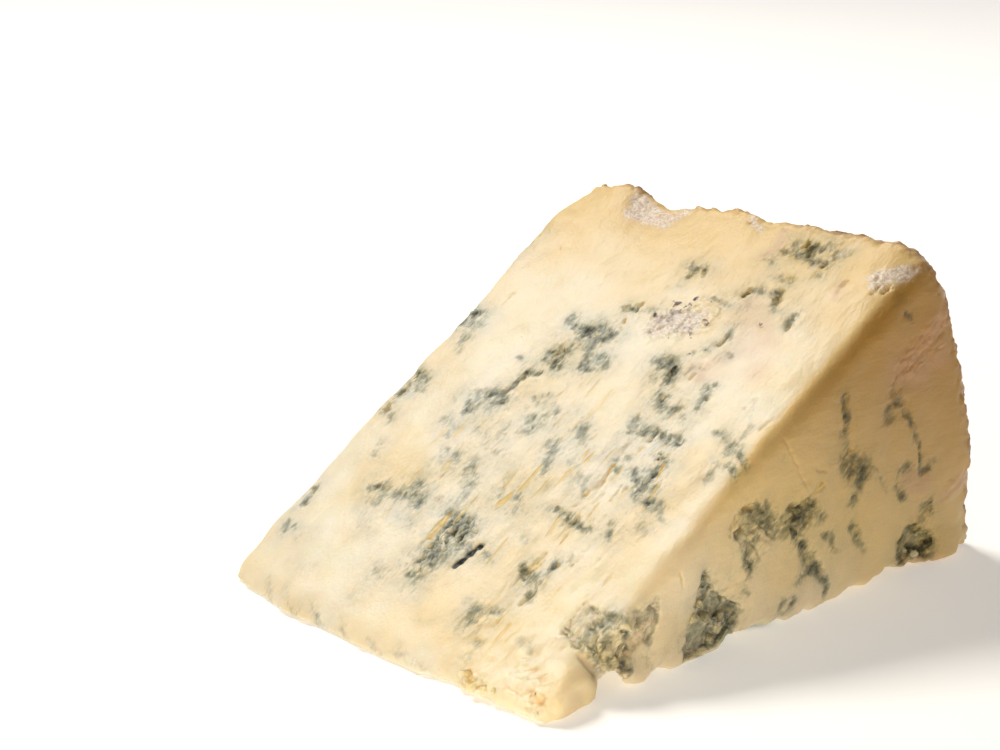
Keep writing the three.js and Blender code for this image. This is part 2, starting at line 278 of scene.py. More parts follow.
# Veins of mould on the upper cut: strength, half width, then points as x and distance from the axis
UPPER_MOULD = (
    (0.8, 1.1, (13.5, 96.6), (17.5, 96.6)),
    (0.9, 0.9, (12.6, 94.4), (16.6, 94.9)),
    (0.9, 0.8, (17.4, 94.1), (20.6, 93.6)),
    (0.7, 0.7, (19.0, 97.4), (20.6, 95.8), (23.0, 96.8)),
    (0.9, 0.5, (9.2, 91.5), (11.0, 91.6)),
    (0.6, 0.5, (21.4, 91.4), (22.2, 91.3)),
    (0.7, 0.5, (14.4, 89.0), (17.4, 89.0)),
    (0.9, 0.8, (16.2, 86.4), (17.4, 85.0)),
    (0.7, 0.6, (17.4, 85.0), (18.8, 82.0)),
    (0.8, 0.8, (11.0, 84.2), (13.2, 85.6)),
    (0.7, 0.6, (22.6, 82.4), (23.4, 80.0)),
    (0.8, 0.6, (-2.8, 87.0), (-1.4, 86.6), (-1.2, 85.0)),
    (0.5, 0.4, (-1.3, 85.0), (-1.5, 82.4)),
    (0.9, 0.6, (0.2, 87.1), (1.3, 86.0)),
    (0.7, 0.4, (7.0, 81.4), (9.5, 80.8), (12.6, 81.0)),
    (0.8, 0.7, (-7.2, 75.0), (-4.6, 75.2), (-2.0, 75.8)),
    (0.7, 0.6, (14.2, 77.4), (14.8, 75.4), (14.0, 73.4)),
    (0.5, 0.4, (12.8, 71.8), (11.6, 70.3)),
    (0.5, 0.4, (16.6, 72.0), (17.4, 71.4)),
    (0.9, 1.0, (-15.2, 69.2), (-12.6, 68.0), (-10.0, 68.6)),
    (1.0, 1.1, (-11.0, 67.8), (-8.0, 69.4), (-5.8, 68.6)),
    (1.0, 0.8, (-8.6, 67.4), (-6.0, 67.0)),
    (0.8, 0.8, (-10.4, 67.4), (-10.0, 64.6)),
    (1.0, 1.1, (-13.2, 62.2), (-11.4, 63.6), (-10.8, 60.4)),
    (0.9, 0.8, (-13.8, 60.4), (-10.2, 60.0)),
    (1.0, 1.1, (-7.4, 65.4), (-6.2, 63.4), (-5.6, 61.6)),
    (0.9, 0.8, (-4.8, 63.6), (-3.0, 64.0), (-2.0, 62.4)),
    (0.7, 0.7, (-6.0, 60.9), (-3.0, 61.0)),
    (0.9, 0.5, (-9.6, 60.2), (-11.8, 58.0), (-14.4, 56.6)),
    (0.9, 0.6, (-14.6, 56.8), (-15.0, 53.6), (-15.6, 51.6)),
    (0.5, 0.5, (-19.2, 59.2), (-17.2, 58.6)),
    (0.9, 0.9, (-20.6, 49.8), (-17.4, 50.8)),
    (1.0, 1.2, (-19.2, 47.6), (-16.6, 49.2), (-14.8, 50.2)),
    (0.9, 0.8, (-19.0, 45.8), (-16.6, 46.6)),
    (1.0, 0.5, (-15.4, 51.4), (-14.8, 49.0), (-15.4, 46.0)),
    (0.4, 0.9, (-22.6, 47.4), (-21.0, 47.8)),
    (1.0, 1.2, (8.6, 67.2), (10.4, 65.8)),
    (0.8, 0.8, (6.4, 66.2), (8.4, 65.2)),
    (0.9, 0.6, (10.4, 65.4), (11.2, 63.6)),
    (0.8, 0.6, (10.6, 63.2), (11.6, 60.2)),
    (0.6, 0.6, (7.2, 64.2), (8.6, 62.6)),
    (0.6, 0.5, (12.8, 61.8), (13.6, 60.8)),
    (0.8, 0.6, (19.4, 65.4), (18.6, 63.6), (20.0, 60.6)),
    (0.7, 0.5, (17.8, 64.6), (19.0, 64.2)),
    (0.9, 0.8, (12.6, 59.6), (14.4, 58.4), (17.0, 59.0)),
    (0.6, 0.6, (15.0, 58.0), (18.6, 57.4)),
    (0.8, 0.8, (11.4, 54.8), (12.2, 52.6)),
    (0.9, 0.9, (14.0, 52.8), (16.4, 54.0), (19.4, 53.0)),
    (1.0, 0.5, (20.2, 54.4), (21.8, 53.2)),
    (0.7, 0.4, (25.6, 57.2), (27.2, 57.6), (28.4, 56.4)),
    (1.0, 0.5, (29.6, 55.6), (30.2, 54.6)),
    (0.9, 0.4, (30.4, 56.2), (33.4, 54.2), (36.3, 52.4)),
    (0.9, 0.5, (31.8, 52.6), (34.4, 51.6), (36.8, 50.4)),
    (0.5, 0.6, (30.0, 51.6), (30.6, 49.0)),
    (0.3, 0.6, (30.4, 60.0), (30.6, 58.0)),
    (0.25, 0.8, (28.4, 65.0), (29.0, 62.6)),
    (0.7, 0.7, (20.0, 50.0), (22.8, 49.0)),
    (0.8, 0.7, (21.6, 47.6), (22.4, 45.4)),
    (0.9, 1.0, (20.6, 44.2), (23.4, 43.6)),
    (1.0, 0.9, (21.6, 42.2), (25.0, 41.2)),
    (0.9, 0.5, (24.0, 46.8), (24.4, 44.6)),
    (0.5, 0.7, (26.4, 41.8), (28.6, 39.8)),
    (0.8, 0.4, (12.4, 47.0), (14.0, 47.0)),
    (0.4, 0.8, (14.0, 48.8), (15.4, 48.2)),
    (0.8, 0.7, (18.0, 45.8), (19.8, 44.8)),
    (0.5, 0.6, (14.6, 45.6), (16.0, 44.8)),
    (0.8, 0.5, (-7.8, 53.6), (-5.6, 53.2), (-4.6, 51.2)),
    (0.5, 0.5, (-9.6, 52.6), (-8.0, 52.0)),
    (0.7, 0.4, (0.8, 52.2), (2.8, 51.8), (4.6, 50.4)),
    (0.7, 0.9, (3.6, 49.8), (5.0, 48.6), (6.6, 47.0)),
    (0.8, 1.2, (1.2, 45.6), (2.6, 44.2)),
    (0.8, 0.8, (-3.2, 51.0), (-4.2, 48.6), (-5.6, 46.2)),
    (0.5, 1.0, (-6.8, 48.6), (-5.0, 49.2)),
    (0.5, 0.9, (-14.0, 43.2), (-11.0, 42.2)),
    (0.6, 0.8, (-9.6, 45.6), (-8.6, 43.4), (-7.2, 40.8)),
    (0.6, 0.8, (-19.0, 42.2), (-18.4, 40.2)),
    (0.4, 0.8, (-21.8, 42.6), (-20.6, 43.4)),
    (0.9, 0.7, (2.8, 41.8), (3.6, 41.0), (4.0, 39.2)),
    (0.5, 0.6, (4.8, 39.2), (6.0, 38.0)),
    (0.8, 0.4, (-3.6, 39.6), (-2.0, 38.8)),
    (0.4, 1.2, (7.8, 43.4), (10.4, 41.0)),
    (0.5, 0.6, (12.0, 41.4), (13.4, 39.0)),
    (0.6, 0.9, (-16.4, 38.2), (-15.6, 35.2)),
    (0.7, 1.0, (-13.8, 37.6), (-12.6, 35.4)),
    (0.7, 0.7, (-9.8, 38.2), (-8.8, 34.2)),
    (0.9, 1.1, (-7.6, 35.2), (-6.6, 33.4), (-5.6, 31.2)),
    (0.9, 0.8, (-0.8, 36.8), (0.2, 33.6)),
    (1.0, 0.7, (3.4, 34.4), (5.2, 32.4)),
    (0.6, 0.6, (2.2, 31.8), (4.4, 31.4)),
    (0.8, 0.6, (9.2, 34.2), (11.8, 35.0), (14.4, 34.4)),
    (0.9, 0.7, (14.2, 34.4), (16.8, 34.0), (19.2, 33.4)),
    (0.9, 0.8, (21.8, 35.4), (23.8, 33.8)),
    (0.3, 0.9, (26.6, 37.2), (28.6, 36.8)),
    (0.7, 0.8, (-24.4, 27.0), (-22.4, 26.4)),
    (1.0, 1.0, (-22.0, 27.4), (-18.6, 26.8), (-15.6, 28.0)),
    (1.0, 1.4, (-15.4, 28.2), (-12.4, 26.8)),
    (0.9, 0.8, (-15.2, 30.2), (-12.4, 29.0), (-11.2, 28.4)),
    (0.8, 1.1, (-20.8, 26.2), (-20.0, 24.4)),
    (0.7, 0.6, (-21.0, 23.8), (-20.6, 22.4)),
    (0.8, 1.4, (-4.8, 27.4), (-1.2, 26.8)),
    (1.0, 1.4, (-3.8, 24.8), (-0.2, 24.0)),
    (0.5, 0.5, (-14.4, 23.0), (-9.6, 22.8), (-5.0, 22.2)),
    (0.5, 0.4, (-10.6, 24.4), (-5.0, 23.4)),
    (0.9, 1.4, (-3.0, 22.4), (-1.2, 19.8)),
    (0.9, 1.4, (-4.0, 19.2), (-2.2, 17.2)),
    (0.8, 1.1, (-3.4, 15.4), (-0.6, 15.0)),
    (1.0, 0.6, (-0.8, 15.0), (-0.2, 13.0)),
    (0.9, 0.9, (0.6, 24.4), (2.4, 23.6)),
    (0.9, 0.7, (6.4, 23.6), (8.2, 22.4)),
    (0.7, 0.6, (9.6, 28.6), (10.4, 28.2)),
    (1.0, 0.8, (14.0, 24.0), (16.0, 22.4)),
    (0.7, 0.8, (16.8, 23.2), (18.6, 19.4)),
    (0.7, 0.5, (17.8, 26.8), (18.8, 22.8)),
    (0.5, 0.8, (20.2, 27.6), (18.6, 26.0)),
    (0.7, 0.8, (12.2, 14.6), (15.4, 15.4)),
    (1.0, 0.8, (12.8, 13.6), (13.2, 12.4)),
    (0.8, 0.5, (12.0, 11.6), (12.8, 11.2)),
    (0.3, 1.0, (23.6, 12.8), (25.4, 12.2)),
    (0.4, 1.0, (16.6, 9.6), (17.2, 6.8)),
    (0.5, 0.4, (4.4, 9.4), (8.0, 9.2)),
    (0.5, 1.0, (-10.2, 14.2), (-7.6, 13.0)),
    (0.4, 0.9, (-10.0, 11.0), (-8.8, 6.8)),
    (0.5, 0.35, (-25.6, 9.0), (-21.6, 8.8)),
    (0.5, 0.4, (-21.7, 8.6), (-21.6, 5.2)),
    (0.8, 0.6, (-18.6, 18.4), (-17.4, 18.8)),
    (0.8, 0.5, (-31.4, 15.0), (-29.6, 14.4), (-28.0, 13.8), (-26.2, 14.8)),
    (0.8, 0.7, (-34.2, 15.4), (-33.7, 13.8)),
    (0.9, 0.6, (-35.2, 22.8), (-34.4, 19.6)),
    (0.6, 0.8, (-29.8, 35.2), (-28.4, 32.2)),
    (0.8, 1.3, (-37.4, 65.8), (-34.4, 65.0)),
    (0.8, 1.1, (-37.0, 62.8), (-33.2, 63.2)),
    (0.6, 1.0, (-32.8, 59.6), (-31.6, 57.2)),
    (0.8, 0.8, (-37.4, 50.2), (-33.4, 49.6)),
    (0.9, 0.9, (-36.2, 47.6), (-35.4, 45.2)),
    (0.5, 1.0, (-34.2, 47.8), (-32.4, 47.2)),
    (0.8, 0.8, (-36.4, 43.0), (-35.2, 41.4)),
    (0.6, 0.6, (-33.0, 40.6), (-32.4, 39.8)),
    (0.8, 0.9, (33.4, 18.0), (35.6, 19.6)),
    (0.6, 1.2, (32.6, 22.6), (34.8, 20.8)),
    (0.35, 0.8, (-27.0, 4.4), (-25.0, 1.4)),
    (0.35, 0.9, (-21.4, 4.2), (-17.4, 1.2)),
    (0.4, 0.8, (-15.6, 4.2), (-11.0, 1.0)),
    (0.3, 0.7, (-8.6, 4.0), (-5.4, 1.4)),
    (0.3, 0.8, (5.0, 3.4), (14.6, 2.2)),
    (0.3, 0.6, (-0.6, 3.0), (2.6, 1.4)),
)

# Veins of mould on the near end: strength, half width, then points as y and z
NEAR_MOULD = (
    (1.0, 0.7, (66.2, 34.4), (66.6, 32.4), (66.9, 30.4)),
    (0.6, 0.7, (66.2, 28.8), (66.8, 26.8)),
    (1.0, 0.6, (66.8, 29.2), (68.2, 26.0), (70.4, 23.6)),
    (0.9, 1.0, (66.8, 24.6), (68.2, 23.2)),
    (1.0, 1.5, (69.4, 23.4), (71.8, 21.6)),
    (0.8, 1.2, (68.8, 21.2), (71.4, 20.2)),
    (0.5, 1.0, (72.6, 20.8), (71.8, 18.8)),
    (0.35, 0.4, (73.4, 22.4), (76.0, 19.2), (78.6, 15.8)),
    (0.9, 0.6, (70.2, 17.4), (70.0, 15.8)),
    (0.7, 0.5, (70.2, 17.0), (71.2, 15.6)),
    (0.9, 0.8, (70.2, 12.0), (71.4, 10.2)),
    (0.4, 0.7, (71.6, 10.0), (73.6, 7.8)),
    (1.0, 0.6, (63.4, 12.8), (64.4, 12.2)),
    (0.6, 0.8, (64.6, 12.0), (66.6, 9.4)),
    (0.7, 1.0, (77.0, 29.6), (78.4, 31.2), (80.0, 30.2)),
    (0.5, 0.9, (77.6, 28.2), (78.4, 28.0)),
    (0.5, 1.0, (78.2, 33.4), (79.0, 31.6)),
    (0.8, 0.5, (80.8, 29.0), (83.0, 26.6), (84.8, 23.8)),
    (0.8, 0.4, (84.8, 23.8), (86.2, 20.4), (86.6, 17.8)),
    (0.8, 0.6, (86.8, 17.4), (88.6, 17.6), (90.6, 18.6)),
    (0.8, 0.6, (83.6, 18.6), (81.4, 18.4), (80.4, 16.6)),
    (0.8, 0.6, (80.6, 16.6), (82.2, 14.6), (83.6, 13.4)),
    (0.9, 0.6, (89.8, 11.4), (90.4, 9.6)),
    (0.5, 0.9, (88.2, 11.4), (88.8, 10.4)),
    (0.5, 0.9, (87.6, 9.4), (88.6, 8.4)),
    (1.0, 0.7, (83.4, 5.4), (85.0, 7.0), (87.2, 7.2)),
    (1.0, 0.8, (83.4, 2.8), (85.2, 4.8), (87.0, 3.6)),
    (1.0, 0.8, (87.0, 3.6), (89.6, 3.0), (91.0, 4.6)),
    (0.8, 1.2, (89.0, 6.0), (91.0, 2.6)),
    (0.8, 1.0, (84.0, 3.6), (90.0, 2.4)),
    (0.9, 0.4, (41.6, 19.4), (43.6, 21.8), (46.6, 21.6), (48.8, 19.8)),
    (1.0, 0.6, (42.8, 18.2), (44.4, 18.8), (47.2, 19.0)),
    (0.9, 0.8, (46.0, 20.4), (48.6, 18.6)),
    (0.8, 0.6, (49.0, 21.8), (50.6, 18.6), (51.6, 15.8)),
    (0.8, 1.0, (50.6, 17.2), (53.2, 15.8)),
    (0.5, 1.0, (47.8, 16.8), (49.0, 16.0)),
    (0.8, 0.8, (46.8, 16.4), (45.2, 15.0)),
    (1.0, 0.7, (45.2, 13.8), (46.4, 12.4), (46.0, 10.8)),
    (0.6, 0.4, (44.8, 9.6), (46.4, 7.2)),
    (0.5, 0.6, (44.2, 9.0), (45.4, 8.0)),
    (0.9, 0.8, (54.8, 19.6), (57.0, 18.4), (59.8, 19.0)),
    (0.9, 0.7, (55.4, 17.4), (58.4, 17.4)),
    (0.5, 1.4, (53.6, 17.6), (60.4, 16.4)),
    (0.5, 0.8, (60.4, 17.4), (62.8, 15.6)),
    (1.0, 0.9, (55.8, 15.8), (57.6, 12.6)),
    (1.0, 0.9, (57.6, 12.8), (59.6, 9.4), (61.2, 7.8)),
    (0.9, 0.8, (60.8, 9.4), (62.8, 6.2)),
    (0.8, 0.5, (57.2, 6.4), (59.8, 7.2), (62.8, 6.2)),
    (0.8, 0.6, (62.8, 6.2), (64.6, 4.0), (64.0, 2.0)),
    (0.8, 1.0, (54.4, 3.8), (56.4, 3.2)),
    (0.4, 0.8, (53.6, 2.6), (55.0, 2.0)),
    (0.9, 0.7, (36.2, 13.8), (36.6, 12.0)),
    (1.0, 0.7, (36.8, 11.8), (40.4, 9.6)),
    (1.0, 0.7, (40.4, 9.6), (42.8, 7.6), (45.0, 5.4)),
    (1.0, 0.8, (35.2, 9.4), (37.2, 9.8)),
    (1.0, 0.6, (37.6, 8.8), (39.4, 5.2), (39.0, 2.0)),
    (1.0, 0.7, (41.0, 6.6), (42.4, 3.6)),
    (1.0, 0.8, (40.4, 2.6), (43.6, 3.0)),
    (0.8, 0.8, (34.2, 5.6), (36.4, 5.0)),
    (0.9, 0.8, (37.6, 4.4), (36.6, 1.8), (33.8, 1.8)),
    (0.6, 2.2, (38.0, 9.0), (42.0, 5.0)),
    (0.6, 2.0, (35.0, 3.6), (42.0, 2.6)),
    (1.0, 0.6, (10.0, 11.0), (13.6, 9.2), (15.6, 7.0)),
    (0.9, 0.7, (15.6, 7.0), (17.0, 5.0), (18.4, 2.4)),
    (0.5, 1.2, (13.8, 13.8), (16.4, 12.0)),
    (0.8, 0.5, (18.6, 10.8), (19.6, 8.6), (20.8, 7.4)),
    (0.7, 0.5, (16.4, 10.8), (17.4, 9.0)),
    (0.8, 0.5, (23.0, 11.6), (24.6, 11.4), (26.2, 12.4)),
    (0.7, 0.6, (24.2, 9.6), (25.2, 6.6)),
    (0.8, 0.7, (18.0, 5.0), (20.2, 3.6)),
    (0.4, 0.7, (24.8, 4.0), (25.2, 2.6)),
    (0.5, 1.6, (17.0, 9.0), (20.0, 6.0)),
    (0.2, 0.8, (52.0, 28.6), (52.6, 27.4)),
    (0.9, 0.5, (77.2, 49.0), (78.8, 48.2)),
    (0.7, 0.4, (80.2, 45.0), (81.4, 43.8)),
    (0.3, 0.8, (28.6, 22.4), (29.6, 21.6)),
)

# Tears of the paste, drawn open along the radius: strength, half width, x and radius at both ends
UPPER_TEARS = (
    (0.9, 0.32, (-2.0, 54.4), (-1.5, 52.8)),
    (1.0, 0.30, (-0.7, 52.2), (-0.5, 47.4)),
    (0.7, 0.26, (-0.4, 45.4), (-0.1, 43.2)),
    (1.0, 0.26, (14.1, 45.8), (14.7, 41.0)),
    (0.9, 0.30, (6.9, 49.8), (7.3, 46.6)),
    (1.0, 0.30, (9.4, 49.4), (10.0, 46.6)),
    (0.6, 0.22, (7.2, 52.4), (6.8, 51.0)),
    (1.0, 0.34, (-6.3, 45.8), (-5.6, 41.6)),
    (0.8, 0.24, (-13.4, 46.0), (-13.2, 41.0)),
    (0.9, 0.26, (-13.4, 38.8), (-13.2, 37.0)),
    (1.0, 0.30, (-9.9, 38.4), (-9.6, 36.0)),
    (1.0, 0.30, (-4.8, 37.6), (-4.0, 32.2)),
    (0.9, 0.26, (-3.8, 32.4), (-3.4, 30.8)),
    (0.9, 0.26, (-1.9, 36.6), (-1.8, 33.6)),
    (0.9, 0.26, (-14.9, 38.2), (-14.6, 35.4)),
    (0.9, 0.28, (-12.6, 31.2), (-11.2, 29.0)),
    (0.9, 0.32, (3.0, 29.8), (3.6, 27.6)),
    (1.0, 0.36, (3.2, 27.4), (3.8, 25.2)),
    (1.0, 0.34, (3.7, 18.4), (3.4, 13.8)),
    (0.8, 0.28, (6.6, 26.4), (6.8, 24.0)),
    (0.9, 0.30, (22.2, 48.8), (23.0, 45.4)),
    (0.9, 0.30, (24.0, 45.4), (24.6, 42.0)),
    (1.0, 0.28, (21.9, 30.4), (21.2, 27.0)),
    (0.8, 0.26, (18.8, 26.6), (18.4, 22.6)),
    (0.9, 0.26, (-5.6, 72.6), (-5.2, 70.6)),
    (0.6, 0.26, (-9.6, 60.6), (-8.8, 59.2)),
    (0.6, 0.24, (7.6, 65.0), (7.4, 62.8)),
    (0.5, 0.26, (-31.3, 71.4), (-31.5, 68.2)),
    (0.6, 0.24, (32.8, 62.0), (32.4, 60.2)),
    (0.5, 0.24, (17.2, 16.2), (16.8, 13.4)),
    (0.6, 0.24, (-7.4, 9.4), (-5.6, 9.0)),
    (0.5, 0.24, (-21.2, 21.0), (-20.8, 19.8)),
    (0.7, 0.26, (-30.6, 84.6), (-30.2, 83.2)),
)

# Fissures of the near end: strength, half width, then points as y and z
NEAR_TEARS = (
    (0.9, 0.26, (41.4, 18.6), (42.6, 21.2), (44.6, 22.0)),
    (0.8, 0.24, (58.4, 19.6), (60.4, 20.2), (62.8, 21.0)),
    (0.8, 0.24, (60.6, 20.8), (62.2, 21.6)),
    (1.0, 0.30, (93.4, 12.2), (95.4, 13.4), (97.8, 15.0)),
    (0.8, 0.30, (94.0, 10.6), (98.0, 12.4)),
    (0.8, 0.26, (21.0, 7.8), (23.2, 7.2), (25.6, 7.4)),
    (0.7, 0.26, (19.0, 12.4), (20.6, 10.6)),
    (0.6, 0.24, (22.6, 5.8), (24.0, 4.4)),
    (0.6, 0.22, (42.4, 14.8), (42.0, 11.6)),
    (0.5, 0.22, (30.2, 15.8), (31.2, 13.2)),
    (0.5, 0.22, (27.6, 18.6), (29.6, 17.0)),
    (0.5, 0.22, (60.6, 24.0), (63.4, 23.2)),
    (0.35, 0.22, (51.6, 32.2), (55.0, 26.8), (59.2, 20.4)),
)

# Open gaps, painted near black inside: mould, with the painted shade of their depth
UPPER_GAPS = (
    (1.0, 0.75, (4.2, 24.2), (3.6, 22.2), (2.9, 19.6)),
    (1.0, 0.60, (32.0, 16.6), (34.4, 17.0), (37.0, 15.8), (39.4, 15.0)),
    (0.6, 0.30, (-4.8, 33.6), (-4.2, 32.2)),
    (0.7, 0.35, (-6.3, 45.4), (-6.0, 44.2)),
    (0.6, 0.35, (21.6, 28.6), (21.3, 27.4)),
)
NEAR_GAPS = (
    (1.0, 0.60, (10.6, 10.9), (13.8, 9.0), (15.4, 7.2)),
    (0.9, 0.60, (15.4, 7.2), (17.0, 4.8), (18.4, 1.0)),
    (0.8, 0.35, (42.8, 18.3), (44.6, 18.8)),
    (0.8, 0.35, (44.4, 21.9), (46.4, 21.6)),
    (0.9, 0.45, (35.3, 9.3), (36.4, 9.6)),
    (0.8, 0.40, (41.8, 4.8), (42.6, 3.4)),
    (0.7, 0.35, (55.0, 19.4), (56.2, 18.2)),
    (0.7, 0.35, (83.6, 4.0), (84.6, 5.4)),
    (0.7, 0.35, (23.4, 11.5), (25.8, 12.2)),
)

# Amber craters where the paste has dried to a skin, and small dabs of the same colour
UPPER_AMBER = (
    (0.6, 1.1, (25.6, 9.2), (28.4, 9.6), (31.6, 9.0)),
    (0.5, 0.9, (26.0, 7.4), (26.8, 5.6)),
    (0.7, 0.8, (31.0, 6.2), (33.6, 6.0)),
    (0.6, 0.6, (33.8, 5.8), (32.6, 4.6)),
    (0.6, 0.9, (25.2, 12.0), (27.2, 12.2)),
    (0.9, 0.8, (18.8, 4.8), (20.4, 4.0)),
    (0.8, 0.7, (21.4, 3.6), (22.8, 3.2)),
    (0.5, 0.8, (26.6, 19.2), (28.0, 18.4)),
    (0.4, 0.6, (24.4, 24.0), (25.2, 22.6)),
    (0.4, 0.6, (27.8, 29.0), (28.6, 27.0)),
    (0.6, 1.6, (-36.0, 92.6), (-33.0, 92.4)),
)
NEAR_AMBER = (
    (1.0, 0.7, (33.8, 10.2), (34.2, 9.0)),
    (0.6, 1.0, (4.6, 6.8), (7.6, 7.8)),
    (0.7, 0.9, (2.2, 4.6), (4.2, 4.0)),
)
UPPER_BLUSH = (
    (0.6, 1.2, (8.6, 98.6), (10.2, 94.6), (9.0, 92.6)),
    (0.7, 0.7, (26.2, 91.0), (26.8, 87.6)),
    (0.5, 1.5, (13.0, 67.4), (16.0, 66.6)),
    (0.4, 1.6, (16.0, 70.0), (22.0, 76.0)),
    (0.4, 1.2, (18.6, 79.6), (21.0, 78.0)),
    (0.5, 2.6, (-23.4, 96.8), (-16.0, 96.0)),
    (0.35, 3.0, (14.0, 82.0), (24.0, 70.0)),
)
NEAR_BLUSH = (
    (0.7, 1.8, (83.6, 16.4), (88.0, 15.0)),
    (0.9, 1.2, (93.4, 11.6), (98.6, 13.4)),
    (0.6, 3.0, (79.0, 35.4), (84.4, 38.4), (89.0, 42.0)),
    (0.5, 2.4, (84.0, 34.0), (90.0, 36.0)),
    (0.7, 1.4, (84.0, 1.0), (96.0, 0.6)),
    (0.4, 2.0, (18.0, 4.0), (25.0, 10.0)),
)
UPPER_BLOOM = (
    (1.0, 2.4, (-24.0, 98.8), (-19.6, 97.4), (-14.4, 98.8)),
    (0.9, 2.2, (-23.0, 95.4), (-15.4, 95.4)),
    (0.8, 1.1, (0.6, 100.6), (1.6, 98.8), (4.0, 98.2)),
    (1.0, 2.1, (30.8, 93.4), (33.4, 95.8), (35.6, 98.0)),
    (0.7, 0.8, (31.4, 91.2), (34.6, 93.2)),
    (0.6, 0.8, (36.4, 93.0), (38.4, 94.4)),
    (0.4, 0.8, (-22.0, 86.4), (-20.6, 85.8)),
    (0.8, 2.4, (0.6, 72.0), (3.2, 73.4), (7.4, 75.0)),
    (0.8, 2.2, (1.0, 75.4), (6.6, 77.6)),
    (0.5, 0.5, (34.0, 43.4), (35.6, 43.0)),
    (0.5, 1.3, (18.6, 91.8), (23.6, 99.0)),
    (0.5, 0.8, (-38.6, 97.8), (-37.0, 99.4)),
)
# Bloom on the near end; the first two small dots are painted glints of light on the moist paste, the rest
# powdery bloom.
NEAR_BLOOM_AND_GLINTS = (
    (0.5, 0.4, (80.0, 47.6), (81.0, 47.0)),
    (0.5, 0.5, (82.2, 44.2), (83.0, 43.6)),
    (0.4, 0.9, (96.0, 12.4), (99.4, 14.0)),
    (0.3, 0.8, (57.8, 15.2), (59.6, 14.8)),
)
UPPER_CRUST = (
    (1.0, 0.6, (-1.6, 75.2), (-0.6, 74.8)),
    (0.9, 0.5, (-0.4, 73.8), (0.2, 74.4)),
    (0.9, 0.5, (1.2, 77.2), (2.2, 76.8)),
    (0.9, 0.6, (3.6, 77.8), (4.8, 76.8)),
    (0.8, 0.5, (4.0, 80.8), (5.2, 80.2)),
    (0.9, 0.5, (8.6, 79.2), (9.6, 78.2)),
    (0.9, 0.4, (7.0, 74.4), (7.8, 74.0)),
    (0.7, 0.4, (0.8, 70.4), (1.6, 69.8)),
    (0.6, 0.4, (2.6, 71.4), (3.4, 71.0)),
    (0.6, 0.5, (5.6, 79.0), (6.8, 77.6)),
    (0.6, 0.4, (0.6, 75.8), (3.4, 74.2)),
    (0.7, 0.5, (18.2, 79.4), (19.0, 78.6)),
    (0.5, 0.4, (-2.4, 90.2), (-1.6, 89.8)),
    (0.9, 0.4, (36.0, 92.4), (36.4, 91.6)),
    (0.9, 0.4, (37.6, 94.2), (38.2, 93.2)),
    (0.8, 0.3, (33.8, 93.4), (34.4, 92.8)),
    (0.7, 0.3, (31.8, 92.0), (32.4, 91.6)),
    (0.5, 0.3, (-22.4, 62.8), (-22.0, 63.2)),
)

PLACED_MARKS = [
    *marks(Kind.MOULD, Face.UPPER, UPPER_MOULD),
    *marks(Kind.MOULD, Face.NEAR, NEAR_MOULD),
    *marks(Kind.TEAR, Face.UPPER, UPPER_TEARS),
    *marks(Kind.TEAR, Face.NEAR, NEAR_TEARS),
    *marks(Kind.GAP, Face.UPPER, UPPER_GAPS),
    *marks(Kind.GAP, Face.NEAR, NEAR_GAPS),
    *marks(Kind.AMBER, Face.UPPER, UPPER_AMBER),
    *marks(Kind.AMBER, Face.NEAR, NEAR_AMBER),
    *marks(Kind.BLUSH, Face.UPPER, UPPER_BLUSH),
    *marks(Kind.BLUSH, Face.NEAR, NEAR_BLUSH),
    *marks(Kind.BLOOM, Face.UPPER, UPPER_BLOOM),
    *marks(Kind.BLOOM, Face.NEAR, NEAR_BLOOM_AND_GLINTS),
    *marks(Kind.CRUST, Face.UPPER, UPPER_CRUST),
]


def scattered_veins(face: Face, count: int, seed: int) -> list[Mark]:
    """Veins, and tears beside them, for a face that no listed marks are placed on.

    Args:
        face: The face that they lie on.
        count: How many clusters of veins there are.
        seed: The seed of the draws.

    Returns:
        The marks, in clusters, each vein drawn out roughly along the radius.
    """
    draw = np.random.default_rng(seed)
    found = []
    while len(found) < count * VEINS_IN_CLUSTER:
        radius = draw.uniform(12, 92)
        if face is Face.LOWER:
            middle = np.array([draw.uniform(-32, 31), radius])
        else:
            angle = CUT_ANGLE * draw.uniform(0.06, 0.93)
            middle = radius * np.array([math.cos(angle), math.sin(angle)])
        lean = draw.normal(0, 0.5) + (0.3 if face is Face.FAR else 1.3)
        along = np.array([math.cos(lean), math.sin(lean)])
        for _ in range(VEINS_IN_CLUSTER):
            start = middle + draw.normal(0, 2.0, 2) + along * draw.normal(0, 2.2)
            end = start + along * draw.uniform(0.8, 3.8) + draw.normal(0, 0.6, 2)
            bend = (start + end) / 2 + draw.normal(0, 0.4, 2)
            path = (tuple(start), tuple(bend), tuple(end))
            found.append(Mark(Kind.MOULD, face, draw.uniform(0.5, 1.0), draw.uniform(0.5, 1.2), path))
        if draw.random() < 0.4:
            path = (tuple(middle), tuple(middle + along * draw.uniform(1.2, 3.6)))
            found.append(Mark(Kind.TEAR, face, draw.uniform(0.5, 0.9), 0.26, path))
    return found


def scattered_tears(count: int, seed: int) -> list[Mark]:
    """Small tears drawn open along the radius, over the middle of the upper cut.

    Args:
        count: How many are tried; those that fall outside the middle are left out.
        seed: The seed of the draws.

    Returns:
        The tears.
    """
    draw = np.random.default_rng(seed)
    found = []
    for _ in range(count):
        x = draw.normal(TEARS_MIDDLE[0], TEARS_SPREAD)
        radius = draw.normal(TEARS_MIDDLE[1], TEARS_SPREAD)
        if not (TEARS_X[0] < x < TEARS_X[1] and TEARS_RADIUS[0] < radius < TEARS_RADIUS[1]):
            continue
        run = draw.uniform(0.8, 3.6)
        path = ((x, radius), (x + draw.normal(0, 0.10) * run, radius + run))
        found.append(Mark(Kind.TEAR, Face.UPPER, draw.uniform(0.3, 0.8), draw.uniform(0.16, 0.26), path))
    return found


